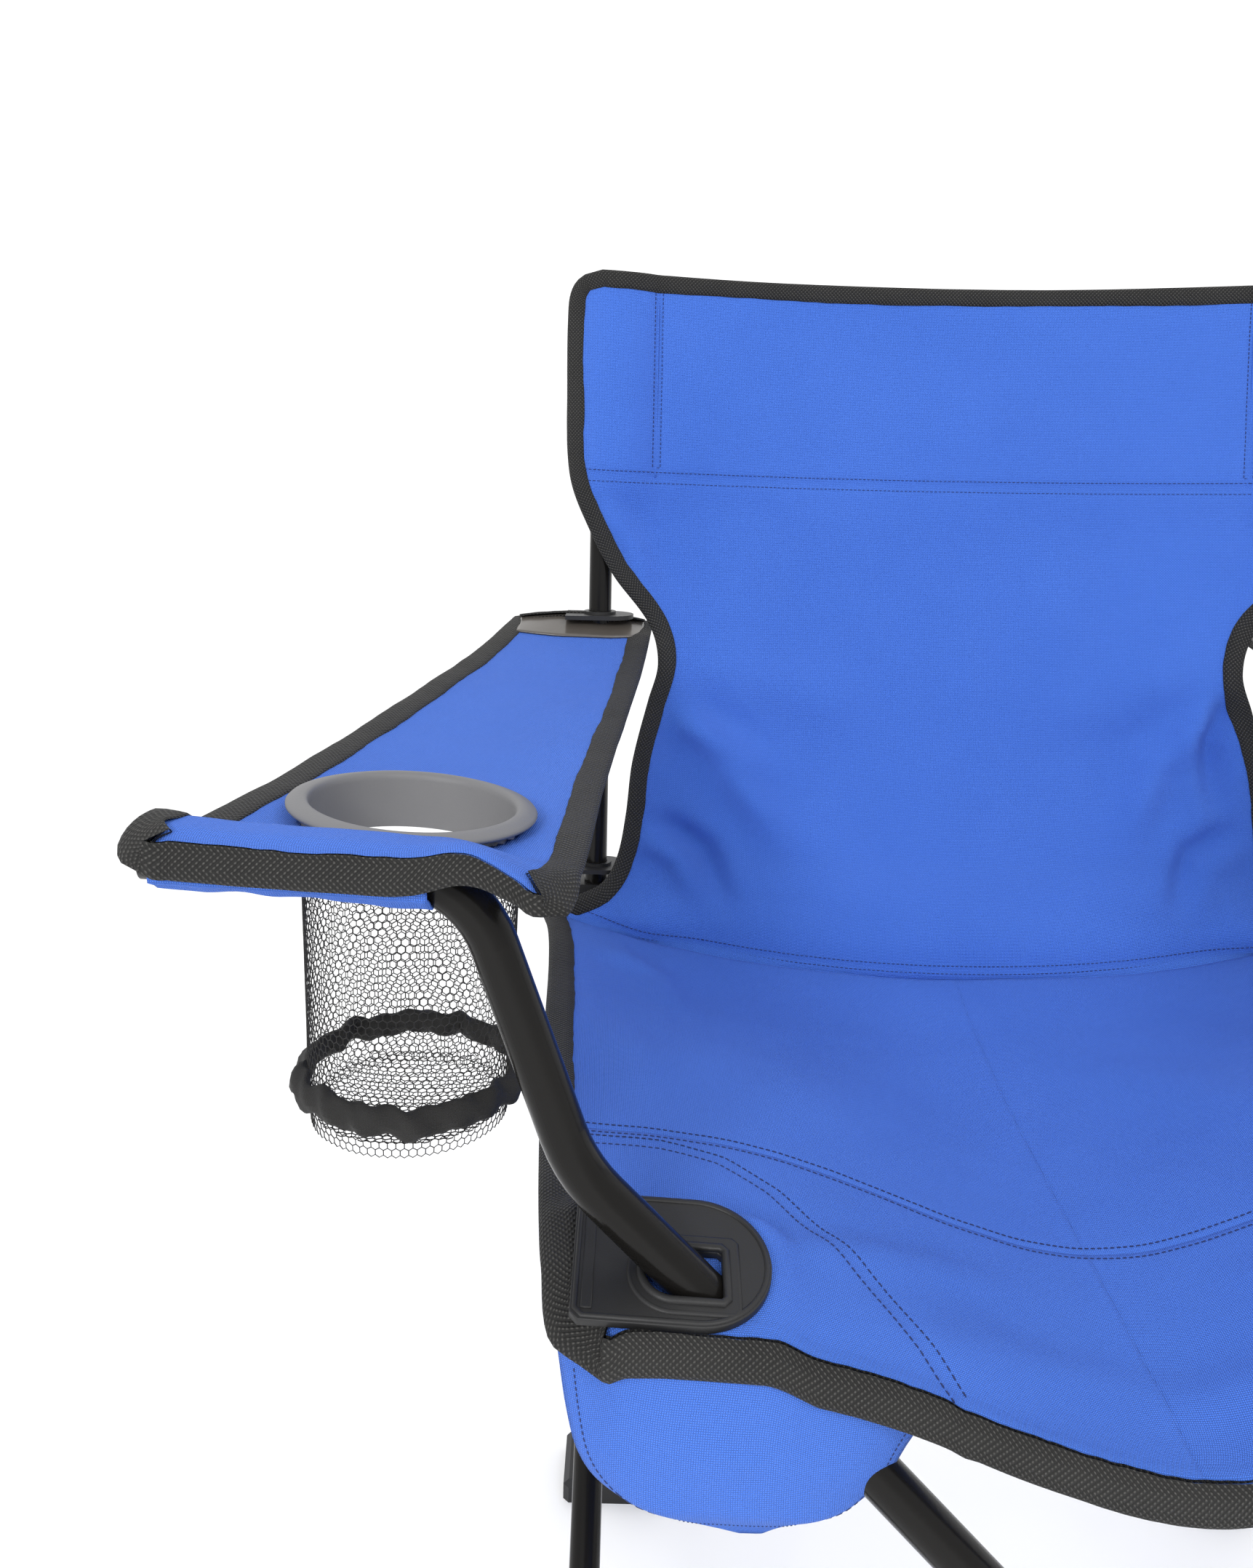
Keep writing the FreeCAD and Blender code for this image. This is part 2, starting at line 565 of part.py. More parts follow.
BACK_ROWS = (
    (880, 236, 0, 16), (741, 236, 0, 24), (672, 234, -4, 26), (636, 210, -10, 24), (608, 204, -14, 20),
    (538, 220, -20, 8), (475, 226, -26, -18), (436, 208, -36, -40), (416, 120, -42, -44),
)
back_rows = [across(half, y_edge, y_middle, z, z, z) for z, half, y_edge, y_middle in BACK_ROWS]
node("back_panel", feature("back_panel", cloth("back_panel", back_rows, BACKWARD)))

sleeve_base = at(-UPRIGHT_X, 0, size("sleeve_low"))
sleeve_full = "sizes.sleeve_high - sizes.sleeve_low"
sleeve_radius = "sizes.upright_dia / 2 + sizes.cloth"
sleeve_outer = cylinder("back_sleeve_outer", sleeve_radius, sleeve_full, sleeve_base, Z_AXIS)
sleeve_bore = "sizes.upright_dia / 2 + 1"
sleeve_inner = cylinder("back_sleeve_inner", sleeve_bore, sleeve_full + " - sizes.cloth", sleeve_base, Z_AXIS)
both_sides("back_sleeve", cut("back_sleeve", sleeve_outer, [sleeve_inner]))

# ---- armrests ----
ARM_ROWS = (
    (12, -311, -211, 636, 636, 636), (-140, -345, -222, 614, 609, 612), (-300, -381, -233, 599, 594, 597),
    (-400, -402, -239, 597, 593, 596), (-418, -406, -241, 611, 609, 607), (-456, -412, -243, 611, 609, 607),
)


def arm_row(y, outer, inner, z_outer, z_middle, z_inner):
    return [at(outer, y, z_outer), at((outer + inner) / 2, y, z_middle), at(inner, y, z_inner)]


CUP = at(-size("cup_x"), -size("cup_depth"), 0)
arm_cloth = cloth("armrest", [arm_row(*row) for row in ARM_ROWS], DOWN)
tape = Part.makeBox(168, 2.5, 19, at(-411.5, -459, 588))
passage = Part.makeCylinder(size("notch"), 40, at(-UPRIGHT_X, 0, 615), Z_AXIS)
RIM_Z = size("cup_rim_z")
cup_hole = Part.makeCylinder(size("cup_inner_radius") + 4.5, 60, CUP + Z_AXIS * (RIM_Z - 30), Z_AXIS)
rim_seat = Part.makeCylinder(size("cup_rim_radius") + PLAY, 20, CUP + Z_AXIS * (RIM_Z - PLAY), Z_AXIS)
arm_plain = arm_cloth.fuse(tape).cut(passage)
node("armrest_left", feature("armrest_left", arm_plain.cut(cup_hole).cut(rim_seat)))
plain_source = feature("armrest_plain", arm_plain)
node("armrest_right", mirrored("armrest_right", plain_source))

# ---- cup holder: a rim with a collar, a net cup below it, and a hem near the cup's foot ----
COLLAR_LOW = RIM_Z - size("collar_deep")
NET_TOP = COLLAR_LOW - 0.4
INNER = "sizes.cup_inner_radius"


def shell(name, outer, inner, low, high):
    """A round wall between two radii and two heights, given as expressions of the sheet."""
    base = CUP + Z_AXIS * low
    wall = cylinder(name + "_wall", outer, str(high - low), base, Z_AXIS)
    return cut(name, wall, [cylinder(name + "_hollow", inner, str(high - low), base, Z_AXIS)])


rim = shell("cup_rim_flange", "sizes.cup_rim_radius", INNER, RIM_Z, RIM_Z + 3.5)
collar = shell("cup_rim_collar", INNER + " + 3", INNER, COLLAR_LOW, RIM_Z)
node("cup_rim", fuse("cup_rim", [rim, collar]))
CUP_BOTTOM = size("cup_bottom")
net_wall = shell("cup_net_wall", INNER + " + 1.5", INNER, CUP_BOTTOM, NET_TOP)
net_floor = cylinder("cup_net_floor", INNER + " + 1.5", "1.5", CUP + Z_AXIS * CUP_BOTTOM, Z_AXIS)
node("cup_net", fuse("cup_net", [net_wall, net_floor]))
node("cup_hem", shell("cup_hem", INNER + " + 5", INNER + " + 1.8", CUP_BOTTOM + 14, CUP_BOTTOM + 24))

# ---- every object is checked before anything is written ----
doc.recompute()
for item in doc.Objects:
    faults = [state for state in item.State if state in ("Invalid", "Error")]
    if faults:
        raise RuntimeError(f"{item.Label} is {faults}")
for name, item in nodes.items():
    shape = item.Shape
    if shape.isNull() or not shape.isValid():
        raise RuntimeError(f"{name} has no valid shape")
for name, item in nodes.items():
    item.Shape.exportStep(f"parts/{name}.step")
whole = Part.makeCompound([item.Shape for item in nodes.values()])
print(len(nodes), "nodes, box", whole.BoundBox)
print("front angle", math.degrees(FRONT_ANGLE), "side angle", math.degrees(SIDE_ANGLE), "top x", TOP_X)
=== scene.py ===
"""The looks of a folding camp chair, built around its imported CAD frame.

Depths are counted from the uprights' plane towards the back, so the chair's front is negative, and
lengths are millimetres until place() turns them into the frame's metres.
"""

import json
import math

import bmesh
import bpy
from mathutils import Matrix, Vector, noise


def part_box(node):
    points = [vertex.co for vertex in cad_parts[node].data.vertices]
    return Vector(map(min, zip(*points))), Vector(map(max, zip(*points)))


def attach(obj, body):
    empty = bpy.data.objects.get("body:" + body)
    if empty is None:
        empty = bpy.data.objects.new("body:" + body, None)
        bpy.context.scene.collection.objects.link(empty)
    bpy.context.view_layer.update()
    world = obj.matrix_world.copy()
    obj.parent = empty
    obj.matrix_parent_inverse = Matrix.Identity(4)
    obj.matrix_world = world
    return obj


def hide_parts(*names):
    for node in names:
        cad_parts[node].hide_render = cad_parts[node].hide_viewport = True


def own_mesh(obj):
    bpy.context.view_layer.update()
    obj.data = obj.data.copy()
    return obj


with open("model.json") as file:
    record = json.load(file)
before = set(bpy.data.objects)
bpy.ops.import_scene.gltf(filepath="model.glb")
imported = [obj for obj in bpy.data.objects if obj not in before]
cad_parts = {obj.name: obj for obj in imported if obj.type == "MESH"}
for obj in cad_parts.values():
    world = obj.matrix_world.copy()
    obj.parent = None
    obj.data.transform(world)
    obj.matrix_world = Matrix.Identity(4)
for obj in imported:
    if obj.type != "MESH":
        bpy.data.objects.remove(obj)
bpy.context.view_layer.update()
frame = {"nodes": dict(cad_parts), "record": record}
MM = 0.001
Z_AXIS = Vector((0, 0, 1))
SIDES = {"left": -1, "right": 1}


def middle(node):
    low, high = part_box(node)
    return (low + high) / 2


REAR = middle("upright_left").y
CUP = middle("cup_rim")


def place(x, y, z):
    return Vector((x * MM, REAR + y * MM, z * MM))


# ---- curves through a few driving points ----


def through(points, at):
    """The value at a place along points, pairs of (place, value), on a smooth curve."""
    points = sorted(points)
    at = min(max(at, points[0][0]), points[-1][0])
    last = len(points) - 1
    i = next(k for k in range(last) if at <= points[k + 1][0])

    def slope(k):
        before, after = points[max(k - 1, 0)], points[min(k + 1, last)]
        return (after[1] - before[1]) / (after[0] - before[0])

    (x0, y0), (x1, y1) = points[i], points[i + 1]
    span = x1 - x0
    t = (at - x0) / span
    start = y0 * (1 + 2 * t) * (1 - t) ** 2 + slope(i) * span * t * (1 - t) ** 2
    return start + y1 * t * t * (3 - 2 * t) + slope(i + 1) * span * t * t * (t - 1)


def ease(low, high, value):
    t = min(max((value - low) / (high - low), 0), 1)
    return t * t * (3 - 2 * t)


def hump(distance, width=1):
    """A soft bump: 1 where distance is 0, fading out over width."""
    return math.exp(-((distance / width) ** 2))


def uneven(a, b, scale, seed):
    """Smooth noise over two coordinates in millimetres."""
    return noise.noise(Vector((a * scale, b * scale, seed)))


def nearest(line, x, y):
    """Distance from (x, y) to a line of points, and how far along it that is, from 0 to 1."""
    best, along = 1e9, 0.0
    spans = len(line) - 1
    for i, ((ax, ay), (bx, by)) in enumerate(zip(line, line[1:])):
        dx, dy = bx - ax, by - ay
        t = min(max(((x - ax) * dx + (y - ay) * dy) / (dx * dx + dy * dy), 0), 1)
        distance = math.hypot(x - ax - t * dx, y - ay - t * dy)
        if distance < best:
            best, along = distance, (i + t) / spans
    return best, along


def folds(creases, x, y):
    """Height of soft creases; each is (line, height, width) and fades out at both ends."""
    total = 0.0
    for line, height, width in creases:
        distance, along = nearest(line, x, y)
        if distance < 3 * width:
            fade = ease(0, 0.3, along) * ease(1, 0.6, along) if along < 1 else 0
            off = distance / width
            total += height * fade * (hump(off) - 0.3 * hump(off - 1.6))
    return total


def resampled(line, step):
    """Points along a line of 2-D points, one every step."""
    found, carry = [], 0.0
    for (ax, ay), (bx, by) in zip(line, line[1:]):
        length = math.hypot(bx - ax, by - ay)
        at = carry
        while at < length:
            t = at / length
            found.append((ax + t * (bx - ax), ay + t * (by - ay)))
            at += step
        carry = at - length
    return found


# ---- materials ----


class Shader:
    """A material with a few short ways to add its nodes."""

    def __init__(self, name, colour, roughness, **inputs):
        self.material = bpy.data.materials.new(name)
        self.material.use_nodes = True
        self.tree = self.material.node_tree
        self.surface = self.tree.nodes["Principled BSDF"]
        self.surface.inputs["Base Color"].default_value = (*colour, 1)
        self.surface.inputs["Roughness"].default_value = roughness
        for key, value in inputs.items():
            socket = key.replace("_", " ").title().replace("Ior", "IOR")
            self.surface.inputs[socket].default_value = value

    def join(self, value, socket):
        if isinstance(value, (int, float)):
            socket.default_value = value
        elif isinstance(value, tuple):
            socket.default_value = (*value, 1)
        else:
            self.tree.links.new(value, socket)

    def math(self, operation, *values):
        node = self.tree.nodes.new("ShaderNodeMath")
        node.operation = operation
        for socket, value in zip(node.inputs, values):
            self.join(value, socket)
        return node.outputs[0]

    def ribs(self, value, pitch):
        """Rises and falls between 0 and 1 once in every pitch of a value in metres."""
        turns = self.math("MULTIPLY", value, 2 * math.pi / pitch)
        return self.math("MULTIPLY_ADD", self.math("SINE", turns), 0.5, 0.5)

    def coordinates(self, kind):
        return self.tree.nodes.new("ShaderNodeTexCoord").outputs[kind]

    def split(self, vector):
        node = self.tree.nodes.new("ShaderNodeSeparateXYZ")
        self.join(vector, node.inputs[0])
        return node.outputs

    def noise(self, vector, scale, detail=3.0, roughness=0.55):
        node = self.tree.nodes.new("ShaderNodeTexNoise")
        self.join(vector, node.inputs["Vector"])
        node.inputs["Scale"].default_value = scale
        node.inputs["Detail"].default_value = detail
        node.inputs["Roughness"].default_value = roughness
        return node.outputs["Fac"]

    def mix(self, factor, first, second):
        node = self.tree.nodes.new("ShaderNodeMix")
        node.data_type = "RGBA"
        self.join(factor, node.inputs["Factor"])
        self.join(first, node.inputs[6])
        self.join(second, node.inputs[7])
        return node.outputs[2]

    def between(self, value, low, high):
        node = self.tree.nodes.new("ShaderNodeMapRange")
        self.join(value, node.inputs["Value"])
        node.inputs["To Min"].default_value = low
        node.inputs["To Max"].default_value = high
        return node.outputs["Result"]

    def bump(self, height, distance, strength=1.0, under=None):
        node = self.tree.nodes.new("ShaderNodeBump")
        self.join(height, node.inputs["Height"])
        node.inputs["Distance"].default_value = distance
        node.inputs["Strength"].default_value = strength
        if under is not None:
            self.join(under, node.inputs["Normal"])
        return node.outputs["Normal"]

    def set(self, name, value):
        self.join(value, self.surface.inputs[name])


def woven(name, dark, light, pitch, roughness, sheen, relief):
    """Plain weave read from UVs in metres: a grid of thread crossings, with every other one lighter, and
    the crown of each crossing painted lighter than the gaps between threads.
    """
    s = Shader(name, light, roughness, sheen_weight=sheen, sheen_roughness=0.5, specular_ior_level=0.25)
    across, along, _ = s.split(s.coordinates("UV"))
    object_space = s.coordinates("Object")
    wobble = s.math("MULTIPLY", s.noise(object_space, 60, 2), 0.6)
    u = s.math("SINE", s.math("ADD", s.math("MULTIPLY", across, math.pi / pitch), wobble))
    v = s.math("SINE", s.math("ADD", s.math("MULTIPLY", along, math.pi / pitch), wobble))
    product = s.math("MULTIPLY", u, v)
    checker = s.math("MULTIPLY_ADD", product, 0.5, 0.5)
    # Height of each crossing's crown. The colour also uses it as a painted highlight, with painted shade
    # between the threads.
    crown_height_and_highlight = s.math("SQRT", s.math("ABSOLUTE", product))
    cloudy = s.noise(object_space, 9, 4)
    thread = s.noise(object_space, 900, 2)
    # The colour mixes the weave pattern, random tone and the painted crown highlight.
    shade = s.math("ADD", s.math("MULTIPLY", checker, 0.34), s.math("MULTIPLY", crown_height_and_highlight, 0.3))
    shade = s.math("ADD", shade, s.math("MULTIPLY", cloudy, 0.26))
    shade = s.math("ADD", shade, s.math("MULTIPLY", thread, 0.2))
    s.set("Base Color", s.mix(shade, dark, light))
    s.set("Roughness", s.between(cloudy, roughness - 0.06, roughness + 0.08))
    height = s.math("MULTIPLY_ADD", checker, 0.5, crown_height_and_highlight)
    s.set("Normal", s.bump(height, relief))
    return s.material


def twill_tape(name, dark, light, pitch, roughness):
    """Herringbone tape: diagonal ribs that turn back every few ribs, with glints painted into the colour
    on the floats.
    """
    s = Shader(name, dark, roughness, sheen_weight=0.03, sheen_roughness=0.4, specular_ior_level=0.2)
    along, across, _ = s.split(s.coordinates("UV"))
    object_space = s.coordinates("Object")
    turn_back = s.math("PINGPONG", across, pitch * 2.5)
    rib = s.ribs(s.math("ADD", along, turn_back), pitch)
    beat = s.ribs(s.math("SUBTRACT", along, turn_back), pitch)
    grain = s.noise(object_space, 1400, 2)
    # A painted highlight: the floats of the ribs are lightened in the colour, as if they caught the
    # light.
    painted_glint = s.math("MULTIPLY", s.math("MULTIPLY", s.math("POWER", rib, 3.0), beat), grain)
    dusty = s.math("MULTIPLY", s.noise(object_space, 25, 3), 0.12)
    # The base colour mixes the painted glints with dust.
    s.set("Base Color", s.mix(s.math("ADD", painted_glint, dusty), dark, light))
    s.set("Roughness", s.between(grain, roughness - 0.1, roughness + 0.15))
    s.set("Normal", s.bump(s.math("MULTIPLY_ADD", beat, 0.6, rib), 0.0005))
    return s.material


def coated(name, colour, roughness, coat, peel_scale, peel, worn, shine):
    """Smooth paint or moulded plastic: a fine surface ripple, uneven gloss and a little dust."""
    s = Shader(name, colour, roughness, coat_weight=coat, coat_roughness=0.12, specular_ior_level=shine)
    object_space = s.coordinates("Object")
    ripple = s.noise(object_space, peel_scale, 2)
    patchy = s.noise(object_space, 14, 4)
    dusty = tuple(c * 3 + 0.02 for c in colour)
    s.set("Base Color", s.mix(s.math("MULTIPLY", patchy, worn), colour, dusty))
    s.set("Roughness", s.between(patchy, roughness - 0.06, roughness + 0.1))
    s.set("Normal", s.bump(ripple, peel))
    return s.material


def blackened(name):
    s = Shader(name, (0.07, 0.07, 0.075), 0.34, metallic=0.85)
    object_space = s.coordinates("Object")
    scratches = s.noise(object_space, 220, 5, 0.7)
    s.set("Base Color", s.mix(scratches, (0.03, 0.03, 0.033), (0.16, 0.155, 0.15)))
    s.set("Roughness", s.between(scratches, 0.25, 0.5))
    s.set("Normal", s.bump(scratches, 0.00006))
    return s.material


BLUE_DARK = (0.011, 0.085, 0.47)
BLUE_LIGHT = (0.095, 0.24, 0.84)
MATERIALS = {
    "tube_black": coated("gloss_powder_coat", (0.006, 0.0055, 0.005), roughness=0.2, coat=0.04,
        peel_scale=420, peel=0.00005, worn=0.05, shine=0.14),
    "rivet_steel": blackened("blackened_steel"),
    "black_plastic": coated("moulded_plastic", (0.013, 0.013, 0.0135), roughness=0.42, coat=0.0,
        peel_scale=1500, peel=0.00007, worn=0.2, shine=0.3),
    "cup_plastic": coated("grey_plastic", (0.13, 0.13, 0.135), roughness=0.5, coat=0.0,
        peel_scale=1200, peel=0.00008, worn=0.12, shine=0.4),
    "blue_fabric": woven("blue_oxford", BLUE_DARK, BLUE_LIGHT, pitch=0.00092, roughness=0.8,
        sheen=0.05, relief=0.0005),
    # The tape's lighter colour is its painted glint colour, and also its dust colour.
    "black_tape": twill_tape("herringbone_tape", (0.009, 0.009, 0.009), (0.13, 0.127, 0.12),
        pitch=0.0026, roughness=0.66),
    "black_net": woven("black_cord", (0.006, 0.006, 0.006), (0.03, 0.029, 0.028), pitch=0.0005,
        roughness=0.6, sheen=0.0, relief=0.0002),
}
THREAD = woven("navy_thread", (0.006, 0.018, 0.10), (0.02, 0.05, 0.24), pitch=0.0004,
    roughness=0.6, sheen=0.1, relief=0.0001)
BROWN_PLASTIC = coated("smoked_plastic", (0.05, 0.044, 0.038), roughness=0.28, coat=0.3,
    peel_scale=90, peel=0.0002, worn=0.5, shine=0.5)


# ---- mesh helpers ----


def finished(obj, slot, body, material=None):
    """Gives a piece the material of its slot, or the one given, and the CAD body that it rides on."""
    obj.data.materials.clear()
    obj.data.materials.append(material or MATERIALS[slot])
    if body:
        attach(obj, body)
    return obj


def linked(name, data):
    obj = bpy.data.objects.new(name, data)
    bpy.context.scene.collection.objects.link(obj)
    return obj


def smooth(mesh):
    mesh.polygons.foreach_set("use_smooth", [True] * len(mesh.polygons))


def distances(points):
    total = [0.0]
    for a, b in zip(points, points[1:]):
        total.append(total[-1] + (b - a).length)
    return total


def grid(name, rows, keep=None):
    """A smooth mesh through rows of points, with UVs in metres; keep() says which face centres stay."""
    wide = len(rows[0])
    mesh = bpy.data.meshes.new(name)
    faces = []
    for i in range(len(rows) - 1):
        for j in range(wide - 1):
            corner = i * wide + j
            face = (corner, corner + 1, corner + wide + 1, corner + wide)
            centre = (rows[i][j] + rows[i + 1][j + 1]) / 2
            if keep is None or keep(centre):
                faces.append(face)
    mesh.from_pydata([p for row in rows for p in row], [], faces)
    centre_column = [row[wide // 2] for row in rows]
    down = distances(centre_column)
    across = [[d - run[wide // 2] for d in run] for run in map(distances, rows)]
    layer = mesh.uv_layers.new(name="UVMap")
    for loop in mesh.loops:
        i, j = divmod(loop.vertex_index, wide)
        layer.data[loop.index].uv = (across[i][j], down[i])
    smooth(mesh)
    obj = linked(name, mesh)
    drop_loose(obj)
    return obj


def drop_loose(obj):
    mesh = obj.data
    used = set(v for p in mesh.polygons for v in p.vertices)
    if len(used) < len(mesh.vertices):
        work = bmesh.new()
        work.from_mesh(mesh)
        bmesh.ops.delete(work, geom=[v for v in work.verts if not v.link_faces], context="VERTS")
        work.to_mesh(mesh)
        work.free()


def thickened(obj, thickness):
    solid = obj.modifiers.new("cloth", "SOLIDIFY")
    solid.thickness = thickness * MM
    solid.offset = 0
    return obj


def frames(path, inner, facing):
    """For each point of an edge: the way into the cloth, and the way off its face."""
    found = []
    last = len(path) - 1
    for i, (p, q) in enumerate(zip(path, inner)):
        along = (path[min(i + 1, last)] - path[max(i - 1, 0)]).normalized()
        inward = q - p
        off = along.cross(inward).normalized()
        if off.dot(facing) < 0:
            off = -off
        found.append((inward, off))
    return found


TAPE_SECTION = ((1.0, 0.9), (0.96, 1.7), (0.7, 2.1), (0.35, 2.3), (0.06, 2.0), (-0.06, 0.9),
                (-0.08, 0.0))


def tape(name, path, inner, facing, seed=0.0, first=0):
    """Binding folded round an edge; path is the edge, and inner is where the tape ends on the cloth."""
    rows = []
    section = [*TAPE_SECTION, *[(a, -b) for a, b in reversed(TAPE_SECTION[:-1])]]
    for i, (p, (inward, off)) in enumerate(zip(path, frames(path, inner, facing)), first):
        wave = noise.noise(Vector((i * 0.09, seed, 0.5)))
        fine = noise.noise(Vector((i * 0.45, seed, 3.5)))
        swell = 1 + 0.12 * wave + 0.08 * fine
        reach = 1 + 0.07 * wave + 0.03 * fine
        rows.append([p + inward * a * reach + off * b * MM * swell for a, b in section])
    obj = grid(name, rows)
    layer = obj.data.uv_layers[0]
    for loop in obj.data.loops:
        u, v = layer.data[loop.index].uv
        layer.data[loop.index].uv = (v, u)
    return obj


def thread_line(points, normals, stitch, gap, radius):
    """Vertices and faces of a row of stitches, each a small flattened spindle lying on the cloth."""
    verts, faces = [], []
    for i in range(len(points) - 1):
        a, b = points[i], points[i + 1]
        along = b - a
        if along.length < 1e-6:
            continue
        along.normalize()
        off = normals[i]
        side = along.cross(off).normalized()
        start = a + along * gap * 0.5
        span = (b - a).length - gap
        base = len(verts)
        verts.append(start + off * radius * 0.3)
        for t in (0.2, 0.8):
            centre = start + along * span * t + off * radius * 0.6
            for turn in range(4):
                angle = math.pi / 4 + turn * math.pi / 2
                verts.append(centre + side * math.cos(angle) * radius + off * math.sin(angle) * radius)
        verts.append(start + along * span + off * radius * 0.3)
        for k in range(4):
            n = (k + 1) % 4
            faces.append((base, base + 1 + n, base + 1 + k))
            faces.append((base + 1 + k, base + 1 + n, base + 5 + n, base + 5 + k))
            faces.append((base + 5 + k, base + 5 + n, base + 9))
    return verts, faces


def stitched(name, surface, lines, body, stitch=3.1, gap=0.7, radius=0.33):
    """Rows of stitches on a surface, given as lines of that surface's own two coordinates."""
    verts, faces = [], []
    for line in lines:
        flat = resampled(line, stitch)
        points = [surface(a, b) for a, b in flat]
        normals = []
        for (a, b), p in zip(flat, points):
            first = surface(a + 1, b) - p
            second = surface(a, b + 1) - p
            normal = first.cross(second).normalized()
            normals.append(normal if normal.dot(surface.facing) > 0 else -normal)
        lifted = [p + n * surface.lift * MM for p, n in zip(points, normals)]
        new_verts, new_faces = thread_line(lifted, normals, stitch * MM, gap * MM, radius * MM)
        faces += [tuple(v + len(verts) for v in face) for face in new_faces]
        verts += new_verts
    mesh = bpy.data.meshes.new(name)
    mesh.from_pydata(verts, [], faces)
    mesh.uv_layers.new(name="UVMap")
    smooth(mesh)
    return finished(linked(name, mesh), "blue_fabric", body, THREAD)


def beside(path, width):
    """Each point of a 2-D path moved sideways, to the right of the way the path runs."""
    moved = []
    last = len(path) - 1
    for i, (x, y) in enumerate(path):
        ax, ay = path[max(i - 1, 0)]
        bx, by = path[min(i + 1, last)]
        length = math.hypot(bx - ax, by - ay)
        moved.append((x + (by - ay) / length * width, y - (bx - ax) / length * width))
    return moved


def double(line, apart):
    """Two lines, a little either side of one."""
    return [beside(line, apart / 2), beside(line, -apart / 2)]


class Cloth:
    """A cloth's shape: a point for two coordinates in millimetres, and roughly where its face looks."""

    def __init__(self, point, facing, lift=0.7):
        self.point = point
        self.facing = facing
        self.lift = lift

    def __call__(self, a, b):
        return self.point(a, b)


def spread(low, high, count):
    return [low + (high - low) * i / (count - 1) for i in range(count)]


def edging(name, cloth, path, width, seed):
    outline = [cloth(a, b) for a, b in path]
    inner = [cloth(a, b) for a, b in beside(path, width)]
    return tape(name, outline, inner, cloth.facing, seed)


# ---- soft pieces: each gets a mesh of its own ----
FRONT = -432
REAR_EDGE_Y = -20


def crumples_across(obj):
    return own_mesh(obj)


def crumples_deep(obj):
    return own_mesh(obj)


# ---- seat ----
SEAT_HALF = [
    (-20, 285), (-60, 277), (-120, 272), (-230, 267), (-320, 262), (-400, 256), (-430, 252),
    (-443, 246), (-450, 236),
]
SEAT_EDGE = [(-20, 431), (-120, 432), (-230, 431), (-320, 432), (-400, 434), (-430, 429), (-450, 421)]
SEAT_MIDDLE = [(-20, 403), (-50, 403), (-120, 387), (-230, 377), (-320, 376), (-390, 374), (-450, 371)]
SEAT_SEAM_Y = -320
SEAT_FRONT_Y = -450
SEAT_DROP = 15
CORNER_DROP = 9
LIP_RADIUS = 4
SEAM_SINK, SEAM_WIDTH = 0.9, 3.5
SEAM_SAG = 28
SEAM_BACK = 37
PLATE = (202, -424)
PLATE_HALF = (39, 29.5)
PLATE_SLOPE = (-0.05, 0.27)
PLATE_Z = 434
CORNER_SEAM = [
    (252, -331), (205, -331), (178, -337), (155, -354), (136, -379), (118, -404), (102, -430),
    (92, -450),
]
SEAT_FOLDS = [
    ([(-150, -300), (-95, -210), (-40, -120)], 1.6, 26),
    ([(160, -290), (100, -200), (30, -130)], 1.8, 24),
    ([(-165, -405), (-110, -380), (-30, -350)], 1.8, 12),
    ([(-120, -440), (-60, -415), (20, -400)], 1.5, 14),
    ([(170, -405), (110, -370), (40, -345)], 1.6, 13),
    ([(-245, -60), (-205, -100), (-190, -170)], 2.2, 12),
    ([(245, -60), (205, -100), (190, -170)], 2.2, 12),
    ([(-20, -420), (40, -410), (110, -425)], 1.4, 12),
    ([(-240, -180), (-215, -240), (-205, -300)], 1.2, 14),
]


def plate_height(x, y):
    return PLATE_Z + PLATE_SLOPE[0] * (PLATE[0] - abs(x)) + PLATE_SLOPE[1] * (y - PLATE[1])


def seat_height(x, y):
    half = through(SEAT_HALF, y)
    t = min(abs(x) / half, 1)
    bell = (1 - hump(t, 0.46)) / (1 - hump(1, 0.46))
    rise = t * t + (bell - t * t) * ease(-60, -250, y)
    low = through(SEAT_MIDDLE, y)
    z = low + (through(SEAT_EDGE, y) - low) * rise
    inside = ease(-20, -60, y)
    z += inside * 1.5 * folds(SEAT_FOLDS, x, y) + inside * 2.2 * uneven(x, y, 0.011, 3)
    z += 0.35 * uneven(x, y, 0.05, 8)
    z -= SEAM_SINK * hump(y - SEAT_SEAM_Y, SEAM_WIDTH)
    if y < SEAT_SEAM_Y:
        distance, _ = nearest(CORNER_SEAM, abs(x), y)
        z -= SEAM_SINK * hump(distance, SEAM_WIDTH)
    beyond_x = max(abs(abs(x) - PLATE[0]) - PLATE_HALF[0] + 6, 0)
    beyond_y = max(abs(y - PLATE[1]) - PLATE_HALF[1] + 9, 0)
    held = ease(24, 2, math.hypot(beyond_x, beyond_y))
    z += (plate_height(x, y) - 2.6 - z) * held
    return z - CORNER_DROP * ease(-424, -449, y) * ease(half - 17, half, abs(x))


seat = Cloth(lambda x, y: place(x, y, seat_height(x, y)), Z_AXIS)
COLUMNS = 181


def seat_row(y_edge):
    half = through(SEAT_HALF, y_edge)
    sag = -SEAM_BACK * ease(-230, REAR_EDGE_Y, y_edge)
    return [seat(u * half, y_edge + sag * (1 - u ** 4)) for u in spread(-1, 1, COLUMNS)]


